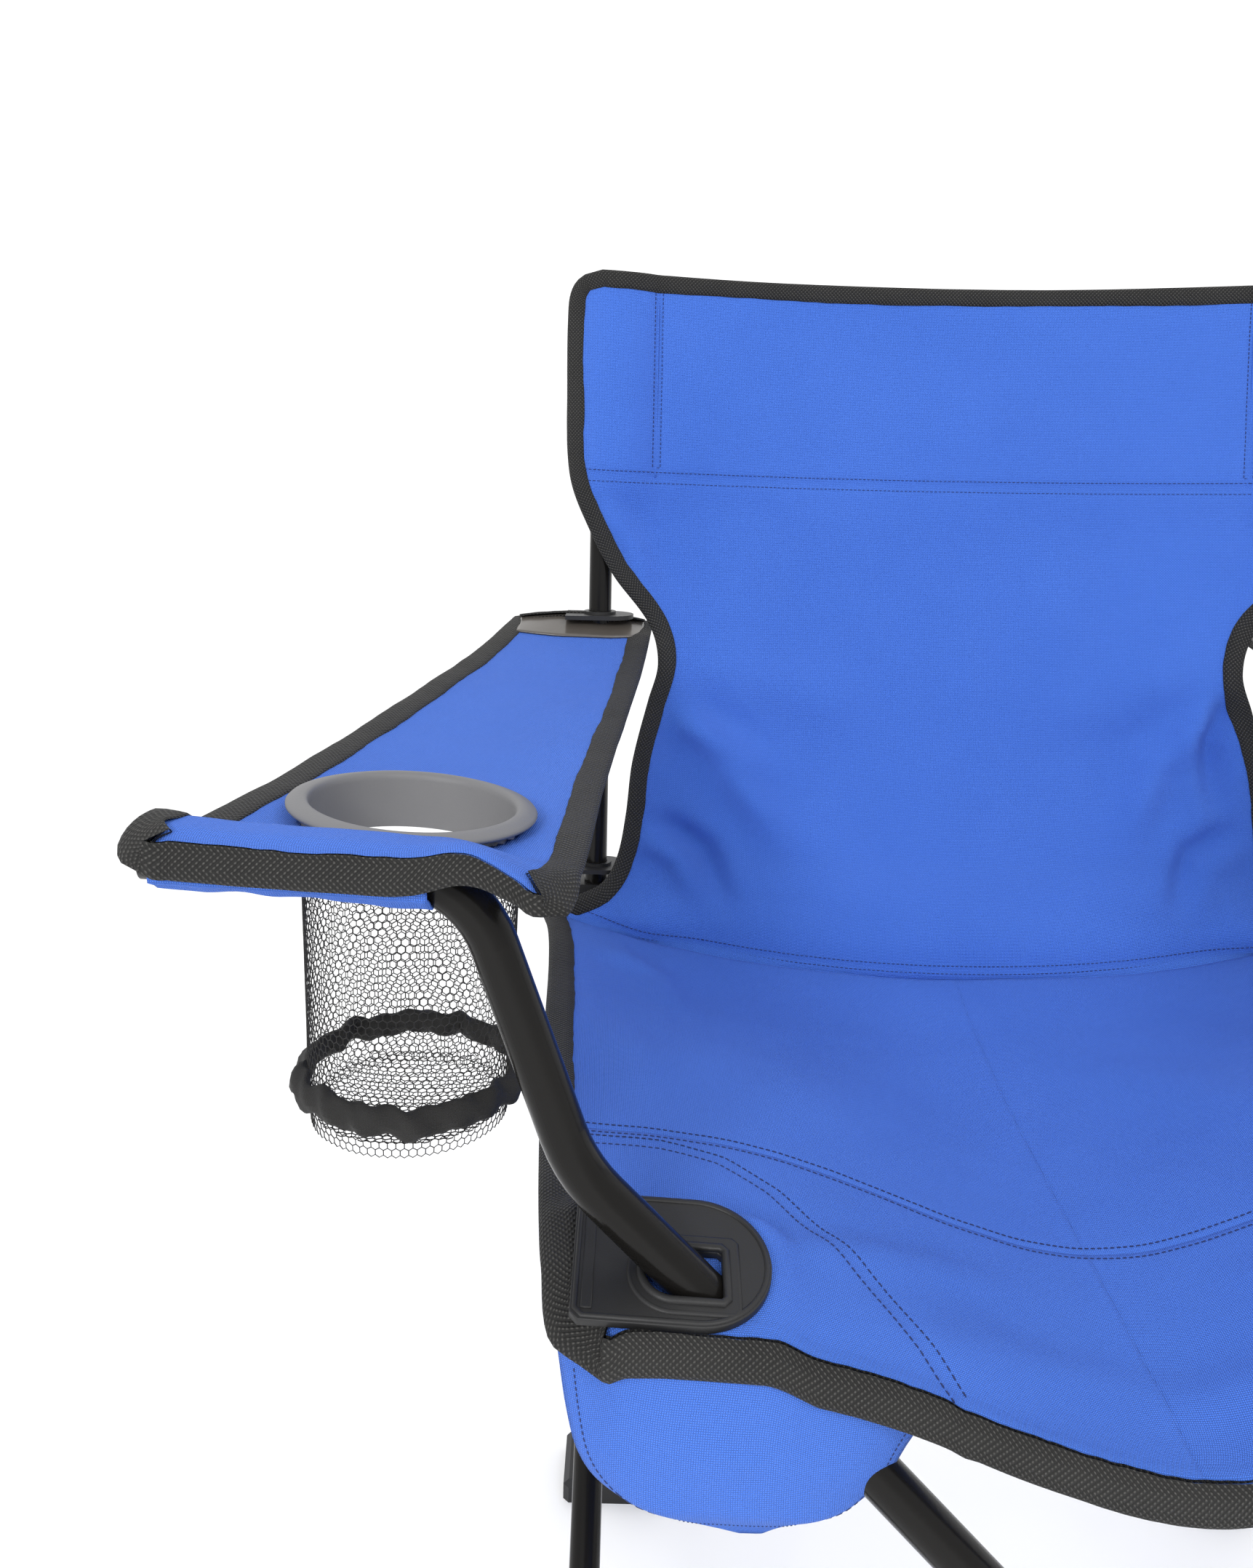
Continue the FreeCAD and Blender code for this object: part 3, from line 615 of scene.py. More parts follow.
def seat_front_row(down):
    """A row of the lip that hangs from the front edge; down runs from 0 to 1."""
    row = []
    half = through(SEAT_HALF, SEAT_FRONT_Y)
    for u in spread(-1, 1, COLUMNS):
        whole = ease(1.0, 0.95, abs(u))
        lip = SEAT_DROP - CORNER_DROP * (1 - whole)
        bend = min(down * 3, 1) * math.pi / 2
        out = LIP_RADIUS * math.sin(bend) * whole
        fall = lip * (LIP_RADIUS * (1 - math.cos(bend)) / SEAT_DROP + 0.73 * down)
        top = seat(u * half, SEAT_FRONT_Y)
        row.append(top + Vector((0, -out, -fall)) * MM)
    return row


rear_rows = [seat_row(y) for y in spread(REAR_EDGE_Y, SEAT_SEAM_Y, 101)]
lip_rows = [seat_front_row(d) for d in spread(0, 1, 8)]
front_rows = [seat_row(y) for y in spread(SEAT_SEAM_Y, SEAT_FRONT_Y, 45)] + lip_rows[1:]


def folds_back(obj, side):
    """For the part of the seat behind the cross seam: it rides on its side's upright, with a mesh of its
    own.
    """
    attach(obj, f"upright_{side}_body")
    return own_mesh(obj)


def folds_forward(obj, side):
    """For the part in front of it: it rides on its side's front corner, with a mesh of its own."""
    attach(obj, f"corner_{side}")
    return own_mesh(obj)


# The seat is cut down its middle so that each half can fold with its own side.
HALVES = {"left": slice(None, COLUMNS // 2 + 1), "right": slice(COLUMNS // 2, None)}
for side, half in HALVES.items():
    rear = thickened(grid(f"seat_cloth_rear_{side}", [row[half] for row in rear_rows]), 1.5)
    front = thickened(grid(f"seat_cloth_front_{side}", [row[half] for row in front_rows]), 1.5)
    for piece in (rear, front):
        piece.modifiers.new("level_at_the_cut", "WEIGHTED_NORMAL").weight = 100
    folds_back(finished(rear, "blue_fabric", None), side)
    folds_forward(finished(front, "blue_fabric", None), side)
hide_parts("seat_panel")

SIDE_TAPE = 15.5
FRONT_TAPE = 16.5
for side, sign in SIDES.items():
    rear_path = [(sign * through(SEAT_HALF, y), y) for y in spread(-24, SEAT_SEAM_Y, 90)]
    if sign < 0:
        rear_path.reverse()
    trim = edging(f"seat_side_tape_{side}", seat, rear_path, SIDE_TAPE, sign * 2.0)
    folds_back(finished(trim, "black_tape", None), side)


def bound_round(cloth, sides, front, drop, widths):
    """The two edges of one tape: down a side edge, round the front corners and up the other side.

    sides are two lists of edge points that run forward, and front is the lip's lower edge. widths
    are the tape's width at the sides, and along the front from a share of the way, 0 to 1.
    """
    outline, inner = [], []
    corner_y = sides[0][-1][1]
    middle_x = front[len(front) // 2].x / MM
    rise = Vector((0, -0.5, 2.2)) * MM

    def add_side(points):
        sense = math.copysign(1, points[-1][0] - middle_x)
        for x, y in points:
            turn = ease(corner_y + 24, corner_y, y)
            edge = cloth(x, y)
            outline.append(edge + Vector((2.5 * sense, -1.5, -0.25 * drop)) * turn * MM)
            inner.append(cloth(x - sense * widths[0] * (1 - 0.1 * turn), y + 5 * turn) + rise * turn)

    add_side(sides[0])
    for k, low in enumerate(front):
        share = k / (len(front) - 1)
        near_corner = ease(0.06, 0, min(share, 1 - share))
        outline.append(low + Vector((0, -2.5, 0.5)) * near_corner * MM)
        inner.append(low + Vector((0, 0.6 - 3 * near_corner, widths[1](share))) * MM)
    start = len(outline)
    add_side(sides[1])
    for path in (outline, inner):
        path[start:] = path[:start - 1:-1]
    return outline, inner


TURNED_DOWN = Vector((0, -0.5, 1))
side_depths = spread(SEAT_SEAM_Y, SEAT_FRONT_Y + 2, 44)
seat_sides = [[(sign * through(SEAT_HALF, y), y) for y in side_depths] for sign in SIDES.values()]
outline, inner = bound_round(seat, seat_sides, lip_rows[-1][3:-3], SEAT_DROP,
                             (SIDE_TAPE, lambda k: FRONT_TAPE))
centre = len(outline) // 2
for side, first, part in (("left", 0, slice(None, centre + 1)), ("right", centre, slice(centre, None))):
    trim = tape(f"seat_front_tape_{side}", outline[part], inner[part], TURNED_DOWN, 5.0, first)
    folds_forward(finished(trim, "black_tape", None), side)

for side, sign in SIDES.items():
    cross_seam = [(sign * x, SEAT_SEAM_Y) for x in spread(0, 248, 30)]
    rear_line, front_line = sorted(double(cross_seam, 8), key=lambda line: -line[0][1])
    rear = stitched(f"seat_rear_stitches_{side}", seat, [rear_line], None)
    corner_seam = [(sign * x, y) for x, y in CORNER_SEAM]
    front = stitched(f"seat_front_stitches_{side}", seat, [front_line] + double(corner_seam, 8), None)
    folds_back(rear, side)
    folds_forward(front, side)

# ---- back ----
BACK_HALF = [
    (431, 283), (440, 262), (450, 243), (469, 232), (500, 226), (538, 222), (580, 212), (608, 205),
    (636, 212), (670, 238), (701, 255), (739, 270), (800, 273), (858, 273), (872, 270), (880, 262),
    (883, 250),
]
BACK_EDGE_Y = [
    (431, -20), (500, -21), (538, -20), (608, -14), (636, -12), (670, -10.5), (739, -9.5),
    (883, -9.5),
]
BACK_MIDDLE_Y = [
    (403, -57), (425, -52), (450, -37), (475, -18), (538, 8), (608, 20), (672, 26), (741, 24),
    (800, 21), (880, 16),
]
BACK_DIP = [(431, 28), (450, 25), (469, 22), (500, 18), (538, 11), (608, 4), (739, 5), (883, 6)]
BACK_LOW, BACK_TOP = 431, 883
SLEEVE_SEAM_X = 210
BAND_Z = 741
BAND_DIP = 5
BAND_HALF = 273
BRACKET_ROOM = 11
BACK_FOLDS = [
    ([(-204, 592), (-150, 530), (-104, 468)], 4.5, 12),
    ([(-200, 573), (-150, 548), (-108, 518)], 3.0, 9),
    ([(-212, 505), (-170, 476), (-148, 425)], -4.5, 9),
    ([(-222, 492), (-190, 470), (-176, 440)], 3.0, 8),
    ([(-205, 610), (-120, 590), (-30, 560)], 2.0, 20),
    ([(-203, 600), (-110, 500), (-30, 420)], 2.5, 30),
    ([(204, 600), (188, 560), (192, 492)], -5.0, 9),
    ([(200, 590), (150, 540), (120, 470)], 4.0, 13),
    ([(212, 505), (172, 480), (150, 428)], -4.0, 9), ([(205, 610), (120, 585), (40, 556)], 2.0, 22),
    ([(-150, 730), (-140, 640), (-120, 560)], 1.2, 24),
    ([(60, 720), (80, 640), (70, 540)], 1.2, 26), ([(-250, 725), (-225, 690), (-206, 640)], 2.5, 9),
    ([(250, 725), (225, 690), (206, 640)], 2.5, 9),
]


def band_height(x):
    return BAND_Z - BAND_DIP * (1 - (x / BAND_HALF) ** 2)


def back_depth(x, z):
    t = min(abs(x) / through(BACK_HALF, z), 1)
    edge = through(BACK_EDGE_Y, z)
    deep = through(BACK_MIDDLE_Y, z)
    y = edge + (deep - edge) * (1 - t ** 2.4)
    if abs(x) > SLEEVE_SEAM_X:
        sleeve = -10.3 + 9.8 * ((abs(x) - 243) / 31) ** 2
    else:
        sleeve = 0.8 + (deep - 0.8) * (1 - (abs(x) / SLEEVE_SEAM_X) ** 2.2)
    y += (sleeve - y) * ease(700, 748, z)
    inside = ease(431, 450, z) * ease(1.0, 0.93, t)
    y -= inside * 1.7 * folds(BACK_FOLDS, x, z)
    y += inside * 2.6 * uneven(x, z, 0.009, 5)
    y += 0.3 * uneven(x, z, 0.05, 9)
    y += 0.8 * hump(z - band_height(x), 4)
    y -= BRACKET_ROOM * hump(abs(x) - 212, 26) * hump(z - 432, 20)
    if z > BAND_Z:
        y += SEAM_SINK * hump(abs(x) - SLEEVE_SEAM_X, SEAM_WIDTH)
    return y


back = Cloth(lambda x, z: place(x, back_depth(x, z), z), Vector((0, -1, 0)))


def back_outline(u, z_edge):
    return u * through(BACK_HALF, z_edge), z_edge - through(BACK_DIP, z_edge) * (1 - u * u)


back_rows = [seat_row(REAR_EDGE_Y)]
for z_edge in spread(BACK_LOW + 2, BACK_TOP, 165):
    back_rows.append([back(*back_outline(u, z_edge)) for u in spread(-1, 1, COLUMNS)])
back_cloth = grid("back_cloth", back_rows)
finished(thickened(back_cloth, 1.5), "blue_fabric", "upright_left_body")
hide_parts("back_panel")
crumples_across(back_cloth)

BACK_TAPE = 11.5
left_side = [back_outline(-1, z) for z in spread(BACK_LOW, BACK_TOP, 150)]
top_side = [back_outline(u, BACK_TOP) for u in spread(-1, 1, 120)]
right_side = [back_outline(1, z) for z in spread(BACK_TOP, BACK_LOW, 150)]
back_tape = edging("back_tape", back, left_side + top_side[1:] + right_side[1:], BACK_TAPE, 9.0)
crumples_across(finished(back_tape, "black_tape", "upright_left_body"))

band_line = [(x, band_height(x)) for x in spread(-261, 261, 60)]
REAR_HALF = through(SEAT_HALF, REAR_EDGE_Y)
base_line = [(REAR_HALF * u, BACK_LOW + 5 - SEAM_SAG * (1 - u * u)) for u in spread(-0.9, 0.9, 60)]
back_lines = double(band_line, 8) + double(base_line, 5)
for sign in SIDES.values():
    upright_seam = [(sign * SLEEVE_SEAM_X, z) for z in spread(BAND_Z + 5, 871, 20)]
    back_lines += double(upright_seam, 6)
    back_lines.append([(sign * (SLEEVE_SEAM_X + off), BAND_Z + 5) for off in (-3, 3)])
crumples_across(stitched("back_stitches", back, back_lines, "upright_left_body"))

SLEEVE_TOP_IN = 2


def sleeve_back(side, sign):
    """The rear layer of the sleeve, which also closes it over the upright's end."""
    rows = []
    for up in spread(0, 1, 40):
        row = []
        for s in spread(0, 1, 25):
            z = BAND_Z - 2 + (BACK_TOP - SLEEVE_TOP_IN - BAND_Z) * up
            outer = through(BACK_HALF, z) - 1
            x = outer - (outer - SLEEVE_SEAM_X) * s
            z -= up * 6 * (1 - min(x / through(BACK_HALF, BACK_TOP), 1) ** 2)
            depth = 0.6 + 10.6 * math.sin(math.pi * s) ** 0.7
            row.append(place(sign * x, depth, z))
        rows.append(row)
    last = rows[-1]
    front = [Vector((p.x, REAR + back_depth(p.x / MM, BACK_TOP) * MM, p.z)) for p in last]
    for over in spread(0.15, 1, 6):
        rows.append([p + (q - p) * over for p, q in zip(last, front)])
    piece = grid(f"sleeve_back_{side}", rows)
    finished(thickened(piece, 1.2), "blue_fabric", f"upright_{side}_body")
    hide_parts(f"back_sleeve_{side}")
    return crumples_across(piece)


for side, sign in SIDES.items():
    sleeve_back(side, sign)

# ---- arms ----
ARM_OUTER = [(12, 311), (-140, 345), (-300, 381), (-400, 402), (-430, 410), (-444, 411), (-452, 405)]
ARM_INNER = [(12, 211), (-140, 222), (-300, 236), (-400, 240), (-436, 243), (-452, 249)]
ARM_Z = {
    0.0: [(12, 632), (-60, 619), (-140, 611), (-300, 594), (-400, 591), (-452, 591)],
    0.5: [(12, 636), (-60, 618), (-140, 608), (-300, 594), (-400, 592), (-452, 594)],
    1.0: [(12, 634), (-60, 622), (-140, 614), (-300, 601), (-400, 599), (-452, 599)],
}
ARM_FRONT_Y = -452
ARM_DROP = 11
ARM_TAPE = 14
CUP_X = abs(CUP.x) / MM
CUP_HOLE = 48


def arm_height(x, y):
    inner = through(ARM_INNER, y)
    t = (abs(x) - inner) / (through(ARM_OUTER, y) - inner)
    low, mid, high = (through(ARM_Z[key], y) for key in (0.0, 0.5, 1.0))
    z = low * (1 - t) * (1 - 2 * t) + mid * 4 * t * (1 - t) + high * t * (2 * t - 1)
    roll = ease(-411, -426, y) - 0.3 * ease(-438, -454, y)
    z += 12 * roll * ease(238, 298, abs(x))
    z += 6.5 * hump(abs(x) - 281, 16) * ease(-425, -450, y)
    z += 0.9 * uneven(x, y, 0.02, 2) * ease(-20, -60, y)
    z -= 5 * ease(-430, -452, y) * (ease(0.1, 0, t) + ease(0.92, 1, t))
    return z + 0.3 * uneven(x, y, 0.06, 6)


arm = Cloth(lambda x, y: place(x, y, arm_height(x, y)), Z_AXIS)


def arm_row(sign, y):
    outer, inner = through(ARM_OUTER, y), through(ARM_INNER, y)
    return [arm(sign * s, y) for s in spread(outer, inner, 61)]


def arm_lip(sign, down):
    row = []
    tops = arm_row(sign, ARM_FRONT_Y)
    for k, top in enumerate(tops):
        share = k / (len(tops) - 1)
        whole = ease(0, 0.07, share) * ease(1, 0.93, share)
        bend = min(down * 3, 1) * math.pi / 2
        shorter = (1 - 0.3 * ease(300, 255, abs(top.x) / MM)) * (0.4 + 0.6 * whole)
        drop = (3 * (1 - math.cos(bend)) + (ARM_DROP - 3) * down) * shorter
        row.append(top + Vector((0, -3 * math.sin(bend) * whole, -drop)) * MM)
    return row


RAIL_Z, RAIL_RISE = 592, 5
RAIL_FROM, RAIL_SPAN = 284, 121


def under_roll(side, sign):
    """The sleeve's lower layer, round the underside of the front rail, and the hem of its mouth."""
    rows = []
    for angle in spread(-0.15, 1.25, 16):
        row = []
        for s in spread(401, 297, 40):
            rail = RAIL_Z + RAIL_RISE * (s - RAIL_FROM) / RAIL_SPAN
            turn = angle * math.pi
            radius = 11.4 + 1.2 * noise.noise(Vector((s * 0.06, angle * 2, sign)))
            droop = 2.2 * ease(380, 300, s) * math.sin(min(max(turn, 0), math.pi))
            reach = 19.5 * math.cos(turn / 1.25) if turn < 0.6 else radius * 1.35 * math.cos(turn)
            y = FRONT - reach
            row.append(place(sign * s, max(y, ARM_FRONT_Y - 1), rail - radius * math.sin(turn) - droop))
        rows.append(row)
    piece = grid(f"arm_sleeve_{side}", rows)
    finished(thickened(piece, 1.5), "blue_fabric", f"arm_{side}_tube")
    rail = "front_tube_from_right" if sign < 0 else "front_tube_from_left"
    return piece


def arm_pieces(side, sign):
    rows = [arm_row(sign, y) for y in spread(12, ARM_FRONT_Y, 155)]
    rows += [arm_lip(sign, d) for d in spread(0.15, 1, 6)]
    hole_x, hole_y = sign * CUP_X * MM, CUP.y

    def outside_cup(centre):
        return sign > 0 or math.hypot(centre.x - hole_x, centre.y - hole_y) > CUP_HOLE * MM

    piece = grid(f"armrest_cloth_{side}", rows, outside_cup)
    body = f"arm_{side}_tube"
    finished(thickened(piece, 1.5), "blue_fabric", body)
    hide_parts(f"armrest_{side}")
    crumples_deep(piece)
    edges = []
    for outline in (ARM_OUTER, ARM_INNER):
        edges.append([(sign * through(outline, y), y) for y in spread(14, ARM_FRONT_Y + 2, 150)])
    front = arm_lip(sign, 1)[2:-2]

    def tape_height(k):
        return ARM_DROP + 2 - 4.5 * ease(0.62, 1.0, k)

    outline, inner = bound_round(arm, edges, front, ARM_DROP, (ARM_TAPE, tape_height))
    trim = tape(f"arm_tape_{side}", outline, inner, TURNED_DOWN, sign * 3.0)
    crumples_deep(finished(trim, "black_tape", body))
    under_roll(side, sign)


def arm_rear_cover(side, sign):
    """A smoked plastic cover over the arm's rear end, with a frayed black trim behind it."""
    rows = []
    for t in spread(0, 1, 12):
        row = []
        for s in spread(306, 216, 40):
            across = (s - 261) / 45
            y = -26 + 30 * t + 6 * across * across
            z = arm_height(sign * s, y) + 1.6 + 4 * t * (1 - across * across)
            row.append(place(sign * s, y, z))
        rows.append(row)
    cover = grid(f"arm_rear_cover_{side}", rows)
    crumples_deep(finished(thickened(cover, 1.2), "black_plastic", f"arm_{side}_tube", BROWN_PLASTIC))
    edge = rows[-1]
    inner = [p + Vector((0, -0.005, 0.0005)) for p in edge]
    trim = tape(f"arm_rear_trim_{side}", edge, inner, Z_AXIS, sign * 7.0)
    crumples_deep(finished(trim, "black_tape", f"arm_{side}_tube"))


for side, sign in SIDES.items():
    arm_pieces(side, sign)
    arm_rear_cover(side, sign)

# ---- front corner plates ----


def plate_outline():
    half_wide, half_deep = PLATE_HALF
    centre = half_wide - half_deep
    arc = [(centre + half_deep * math.cos(a), half_deep * math.sin(a))
           for a in spread(-math.pi / 2, math.pi / 2, 33)]
    return arc + [(-half_wide + 3, half_deep), (-half_wide, half_deep - 3), (-half_wide, 3 - half_deep),
                  (-half_wide + 3, -half_deep)]


def slot_outline(grow):
    centre_x, centre_y, radius, end = 0, -7, 11.5 + grow, 20 + grow
    arc = [(centre_x + radius * math.cos(a), centre_y + radius * math.sin(a))
           for a in spread(math.pi / 2, 3 * math.pi / 2, 25)]
    right = [(end - 2, centre_y - radius), (end, centre_y - radius + 2), (end, centre_y + radius - 2),
             (end - 2, centre_y + radius)]
    return arc + right


def scaled(points, share_x, share_y):
    return [(x * share_x, y * share_y) for x, y in points]


def flat_curve(name, outlines, thick, bevel):
    data = bpy.data.curves.new(name, "CURVE")
    data.dimensions = "2D"
    data.fill_mode = "BOTH"
    data.extrude = thick / 2
    data.bevel_depth = bevel
    data.bevel_resolution = 2
    for points in outlines:
        add_loop(data, points, 0)
    return data


def add_loop(data, points, z):
    spline = data.splines.new("POLY")
    spline.points.add(len(points) - 1)
    for point, (x, y) in zip(spline.points, points):
        point.co = (x, y, z, 1)
    spline.use_cyclic_u = True


def ridge(points, z, radius):
    data = bpy.data.curves.new("ridge", "CURVE")
    data.dimensions = "3D"
    data.bevel_depth = radius
    data.bevel_resolution = 3
    add_loop(data, points, z)
    return data


def meshed(curves, name):
    """Curves as one mesh, with their outlines in the same place."""
    work = bmesh.new()
    for data in curves:
        temporary = linked("temporary", data)
        bpy.context.view_layer.update()
        evaluated = temporary.evaluated_get(bpy.context.evaluated_depsgraph_get())
        work.from_mesh(bpy.data.meshes.new_from_object(evaluated))
        bpy.data.objects.remove(temporary)
    mesh = bpy.data.meshes.new(name)
    work.to_mesh(mesh)
    work.free()
    smooth(mesh)
    return mesh


def front_plate(side, sign):
    outline = plate_outline()
    curves = [
        flat_curve("plate", [outline, slot_outline(0)], 2.4, 0.5),
        ridge(scaled(outline, 0.965, 0.95), 1.2, 1.3),
        ridge(slot_outline(1.2), 2.2, 1.9),
        ridge(slot_outline(5.6), 1.2, 1.4),
        flat_curve("strip", [[(-35, -25), (-31.5, -25), (-31.5, 25), (-35, 25)]], 4.2, 0.4),
        flat_curve("step", [slot_outline(5.6), slot_outline(0.6)], 4.4, 0.3),
    ]
    mesh = meshed(curves, f"corner_plate_{side}")
    slope_x, slope_y = PLATE_SLOPE
    normal = Vector((-slope_x, -slope_y, 1)).normalized()
    across = Vector((1, 0, slope_x)).normalized()
    turn = Matrix((across, normal.cross(across), normal)).transposed()
    mesh.transform(Matrix.Scale(MM, 4) @ turn.to_4x4())
    if sign > 0:
        mesh.transform(Matrix.Scale(-1, 4, (1, 0, 0)))
        mesh.flip_normals()
    obj = linked(f"corner_plate_{side}", mesh)
    obj.location = place(sign * PLATE[0], PLATE[1], PLATE_Z)
    finished(obj, "black_plastic", f"arm_{side}_tube")
    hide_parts(f"seat_front_plate_{side}")


for side, sign in SIDES.items():
    front_plate(side, sign)

# ---- pockets under the front corners ----
POCKET_SIDE = [(410, 246), (383, 242), (366, 237), (352, 227), (343, 213), (337, 196), (334, 178)]
POCKET_INNER = [(410, 98), (383, 110), (366, 117), (352, 127), (343, 139), (337, 151), (334, 162)]
POCKET_TOP, POCKET_LOW = 410, 334


def pocket_point(sign, t, z):
    outer, inner = through(POCKET_SIDE, z), through(POCKET_INNER, z)
    x = outer + (inner - outer) * t
    swell = 4 * t * (1 - t) * ease(334, 375, z)
    y = -446.5 - 5.5 * swell + 9 * (1 - ease(334, 350, z)) + 8 * (2 * t - 1) ** 6
    y += 1.4 * uneven(x, z, 0.03, sign * 3)
    under_lip = seat_height(x, SEAT_FRONT_Y) - 7
    z = POCKET_LOW + (under_lip - POCKET_LOW) * (z - POCKET_LOW) / (POCKET_TOP - POCKET_LOW)
    return place(sign * x, y, z)


def pocket(side, sign):
    heights = spread(POCKET_TOP, POCKET_LOW, 45)
    rows = [[pocket_point(sign, t, z) for t in spread(0, 1, 49)] for z in heights]
    piece = grid(f"corner_pocket_cloth_{side}", rows)
    body = f"arm_{side}_tube"
    finished(thickened(piece, 1.6), "blue_fabric", body)
    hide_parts(f"corner_pocket_{side}")
    shape = Cloth(lambda t, z: pocket_point(sign, t / 100, z), Vector((0, -1, 0)))
    hem = [(4, z) for z in spread(404, 352, 12)] + [(t, 340) for t in spread(10, 90, 14)]
    hem += [(96, z) for z in spread(352, 396, 10)]
    stitches = stitched(f"corner_pocket_stitches_{side}", shape, [hem], body, stitch=2.6, radius=0.3)


for side, sign in SIDES.items():
    pocket(side, sign)

# ---- cup holder ----


def round_cup(radius, angle, z):
    """A point round the holder's axis, from millimetres."""
    reach = radius * MM
    return Vector((CUP.x + reach * math.cos(angle), CUP.y + reach * math.sin(angle), z * MM))


def lathed(name, profile, turns=96):
    angles = [2 * math.pi * i / turns for i in range(turns + 1)]
    return grid(name, [[round_cup(radius, angle, z) for angle in angles] for radius, z in profile])


RIM_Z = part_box("cup_rim")[1].z / MM - 3.5
RIM_PROFILE = [
    (44.5, -22), (47.2, -22), (47.4, -2), (48.5, -0.6), (53.2, -0.6), (54.2, 0.3), (54.3, 1.2),
    (53.4, 2.2), (50.0, 3.2), (47.2, 3.6), (45.6, 3.2), (44.8, 2.0), (44.5, 0), (44.5, -22),
]
RIM_TILT = math.radians(4.5)
rim_section = [(r, RIM_Z + z) for r, z in RIM_PROFILE]
cup_rim = finished(lathed("cup_ring", rim_section), "cup_plastic", "arm_left_tube")
rim_spot = Vector((CUP.x, CUP.y, RIM_Z * MM))
tilted = Matrix.Translation(rim_spot) @ Matrix.Rotation(RIM_TILT, 4, "Y") @ Matrix.Translation(-rim_spot)
cup_rim.data.transform(tilted)
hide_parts("cup_rim")

NET_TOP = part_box("cup_net")[1].z / MM
NET_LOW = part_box("cup_net")[0].z / MM + 11
NET_RADIUS = [
    (NET_LOW, 42.5), (NET_LOW + 6, 43.4), (480, 43.6), (520, 45), (560, 46.4), (NET_TOP, 46.6),
]
NET_COLUMNS = 78
NET_THREAD = 0.5
CELL_WIDE, CELL_HIGH = 3.7, 3.2
FLOOR_COLUMNS, FLOOR_ROWS, FLOOR_RADIUS = 27, 30, 43.6
WELD = 20000  # parts of a metre within which two corners are one


HEXAGON = ((0, 0.667), (0.5, 0.333), (0.5, -0.333), (0, -0.667), (-0.5, -0.333), (-0.5, 0.333))


def hexagon_mesh(name, columns, rows, point):
    """A net of hexagons; point() takes a place in cells across and up, and gives where it is."""
    found, verts, faces = {}, [], []
    for row in range(rows):
        for column in range(columns):
            centre = column + 0.5 * (row % 2)
            face = []
            for dx, dy in HEXAGON:
                spot = point(centre + dx, row + dy)
                if spot is None:
                    break
                key = tuple(round(c * WELD) for c in spot)
                if key not in found:
                    found[key] = len(verts)
                    verts.append(spot)
                face.append(found[key])
            if len(face) == 6:
                faces.append(face)
    mesh = bpy.data.meshes.new(name)
    mesh.from_pydata(verts, [], faces)
    obj = linked(name, mesh)
    wires = obj.modifiers.new("threads", "WIREFRAME")
    wires.thickness = NET_THREAD * MM
    wires.use_replace = True
    wires.use_even_offset = False
    return finished(obj, "black_net", "arm_left_tube")


def net_wall_point(across, up):
    angle = 2 * math.pi * (across % NET_COLUMNS) / NET_COLUMNS
    z = NET_LOW + 0.5 + up * CELL_HIGH
    sag = 0.5 * noise.noise(Vector((math.cos(angle) * 2, math.sin(angle) * 2, z * 0.03)))
    return round_cup(through(NET_RADIUS, z) + sag, angle, z)


def net_floor_point(across, up):
    x, y = (across - FLOOR_COLUMNS // 2) * CELL_WIDE, (up - FLOOR_ROWS // 2) * CELL_HIGH
    if math.hypot(x, y) > FLOOR_RADIUS:
        return None
    return Vector((CUP.x + x * MM, CUP.y + y * MM, (NET_LOW + 0.4 + 0.002 * (x * x + y * y)) * MM))


net_rows = int((NET_TOP - NET_LOW) / CELL_HIGH) - 1
net = hexagon_mesh("cup_net_wall", NET_COLUMNS, net_rows, net_wall_point)
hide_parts("cup_net")
hexagon_mesh("cup_net_floor", FLOOR_COLUMNS, FLOOR_ROWS, net_floor_point)

HEM_Z, HEM_RADIUS = 483, 46.6
HEM_TURNS, HEM_SIDES = 180, 16


def ruffled_hem():
    rows = []
    for i in range(HEM_TURNS + 1):
        angle = 2 * math.pi * i / HEM_TURNS
        wave = Vector((math.cos(angle) * 3, math.sin(angle) * 3, 1.5))
        swell = 2.2 * noise.noise(wave) + 0.9 * math.sin(17 * angle)
        radius = HEM_RADIUS + swell
        height = HEM_Z + 1.6 * noise.noise(wave * 1.7) + 0.7 * math.sin(11 * angle + 1)
        ring = []
        for k in range(HEM_SIDES + 1):
            turn = 2 * math.pi * k / HEM_SIDES
            crease = 1 + 0.12 * math.sin(3 * turn + 23 * angle)
            r = radius + (3.6 + 0.8 * math.sin(13 * angle)) * math.cos(turn) * crease
            z = height + 5.4 * math.sin(turn) * crease - 1.5 * math.cos(turn)
            ring.append(round_cup(r, angle, z))
        rows.append(ring)
    hem = finished(grid("cup_hem_cloth", rows), "black_net", "arm_left_tube")
    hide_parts("cup_hem")


ruffled_hem()

# ---- the CAD pieces that stay get the finish of their own slot ----
for entry in frame["record"]["subparts"]:
    node = frame["nodes"][entry["node"]]
    node.data.materials.clear()
    node.data.materials.append(MATERIALS[entry["material_slot"]])
    smooth(node.data)

# ---- floor, light and camera ----
FLOOR_HALF = 30
floor_mesh = bpy.data.meshes.new("floor")
corners = [(x * FLOOR_HALF, y * FLOOR_HALF, 0) for x, y in ((-1, -1), (1, -1), (1, 1), (-1, 1))]
floor_mesh.from_pydata(corners, [], [(0, 1, 2, 3)])
floor = linked("floor", floor_mesh)
pale = Shader("pale_floor", (0.8, 0.8, 0.8), 0.9, emission_color=(1, 1, 1, 1), emission_strength=0.2)
floor_mesh.materials.append(pale.material)

world = bpy.data.worlds.new("studio")
world.use_nodes = True

BRIGHT_BEHIND, DIM_BEFORE = 1.2, 0.9


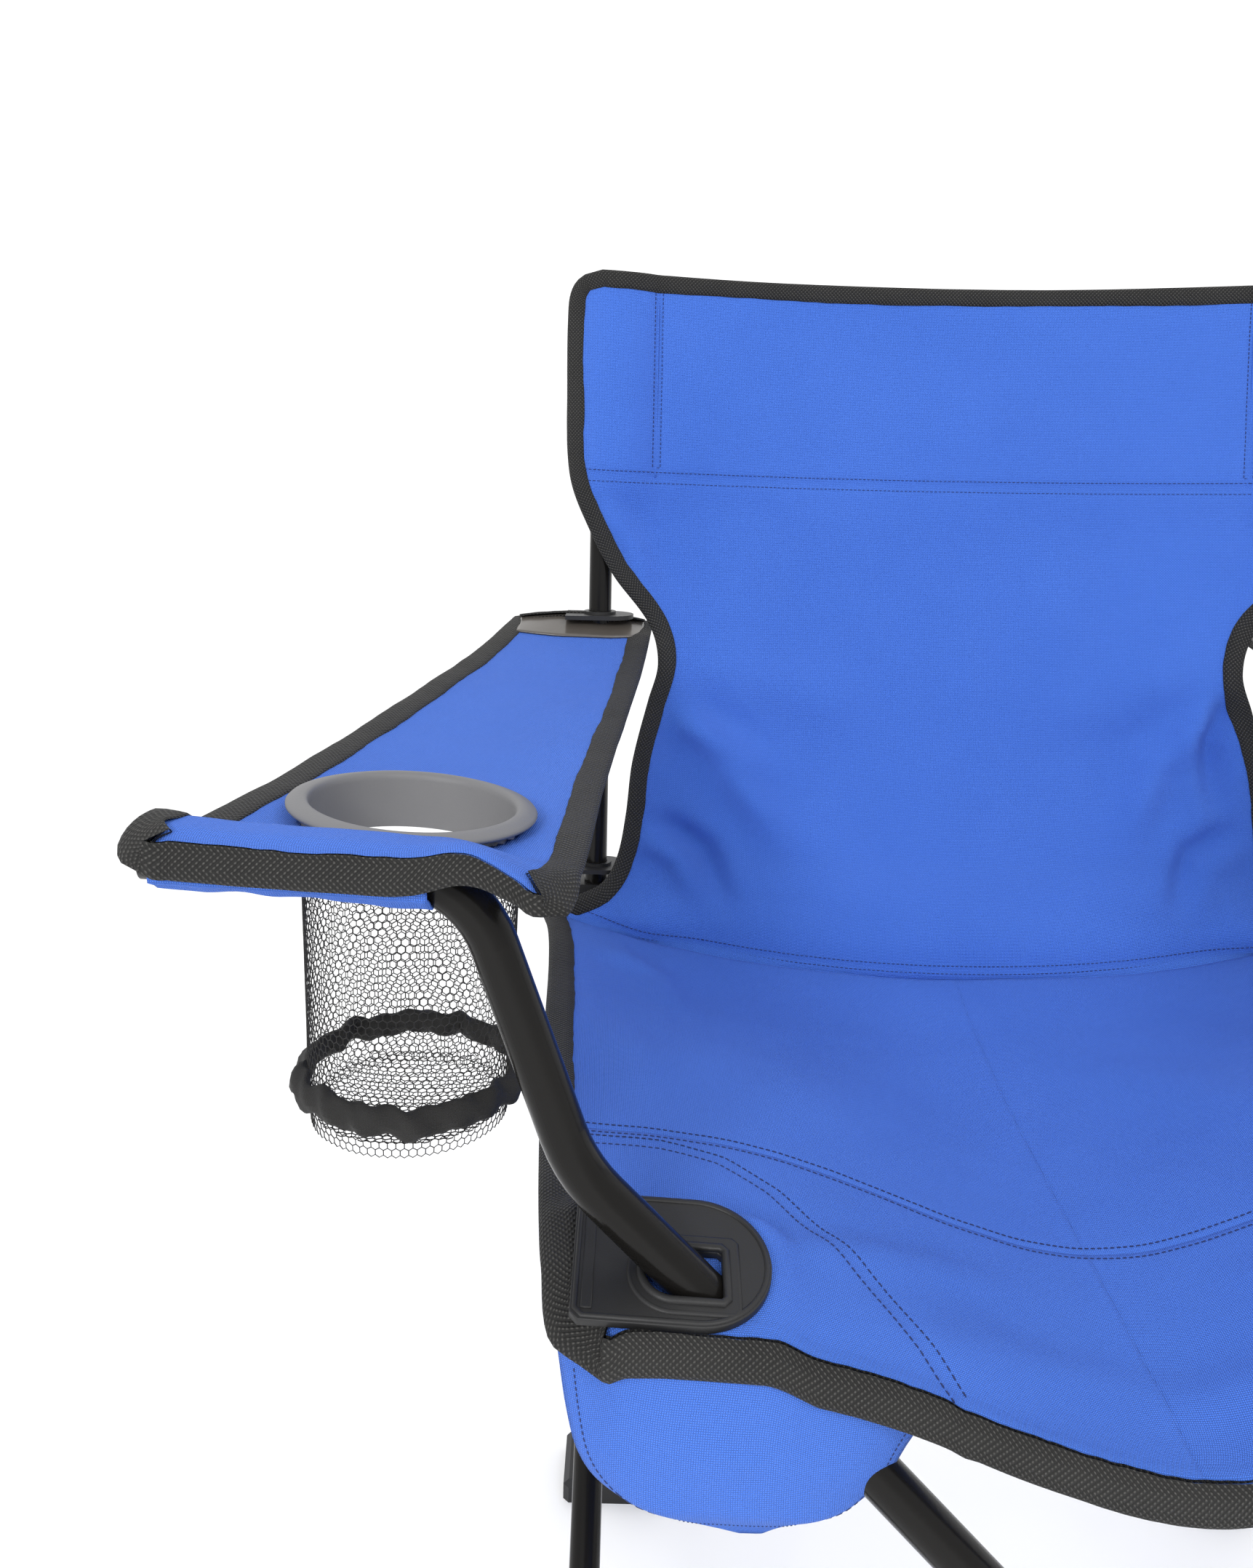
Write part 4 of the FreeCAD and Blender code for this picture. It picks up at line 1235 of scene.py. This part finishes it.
def studio_walls(tree):
    """A white sweep behind the chair and overhead, and a dimmer room in front of it."""
    direction = tree.nodes.new("ShaderNodeTexCoord").outputs["Generated"]
    parts = tree.nodes.new("ShaderNodeSeparateXYZ")
    tree.links.new(direction, parts.inputs[0])
    reach = tree.nodes.new("ShaderNodeMapRange")
    reach.interpolation_type = "SMOOTHSTEP"
    tree.links.new(parts.outputs["Y"], reach.inputs["Value"])
    limits = {"From Min": -0.35, "From Max": 0.25, "To Min": DIM_BEFORE, "To Max": BRIGHT_BEHIND}
    for key, value in limits.items():
        reach.inputs[key].default_value = value
    tree.links.new(reach.outputs["Result"], tree.nodes["Background"].inputs["Strength"])


world.node_tree.nodes["Background"].inputs["Color"].default_value = (1, 1, 1, 1)
studio_walls(world.node_tree)
bpy.context.scene.world = world
bpy.context.scene.view_settings.view_transform = "Standard"


def soft_light(name, spot, target, across, watts):
    data = bpy.data.lights.new(name, "AREA")
    data.shape = "RECTANGLE"
    data.size = across
    data.size_y = across * 0.7
    data.energy = watts
    light = linked(name, data)
    light.location = spot
    light.rotation_euler = (target - spot).to_track_quat("-Z", "Y").to_euler()


HEART = place(-100, -200, 450)
soft_light("key", Vector((-1.3, -2.6, 1.9)), HEART, 0.9, 44)
soft_light("fill", Vector((1.0, -2.3, 2.3)), HEART, 1.2, 30)

CAMERA_SPOT = place(-220.47, -919.35, 752.88)
YAW, PITCH, ROLL = (math.radians(a) for a in (-0.60, 3.31, 1.06))
level_right = Vector((math.cos(YAW), -math.sin(YAW), 0))
level_ahead = Vector((math.sin(YAW), math.cos(YAW), 0))
ahead = level_ahead * math.cos(PITCH) - Z_AXIS * math.sin(PITCH)
upward = level_ahead * math.sin(PITCH) + Z_AXIS * math.cos(PITCH)
camera_right = level_right * math.cos(ROLL) + upward * math.sin(ROLL)
camera_up = upward * math.cos(ROLL) - level_right * math.sin(ROLL)
camera_data = bpy.data.cameras.new("camera")
camera_data.sensor_fit = "HORIZONTAL"
camera_data.sensor_width = 36
camera_data.lens = 37.02
camera_data.shift_y = -0.201
camera = linked("camera", camera_data)
turned = Matrix((camera_right, camera_up, -ahead)).transposed().to_4x4()
camera.matrix_world = Matrix.Translation(CAMERA_SPOT) @ turned
bpy.context.scene.camera = camera
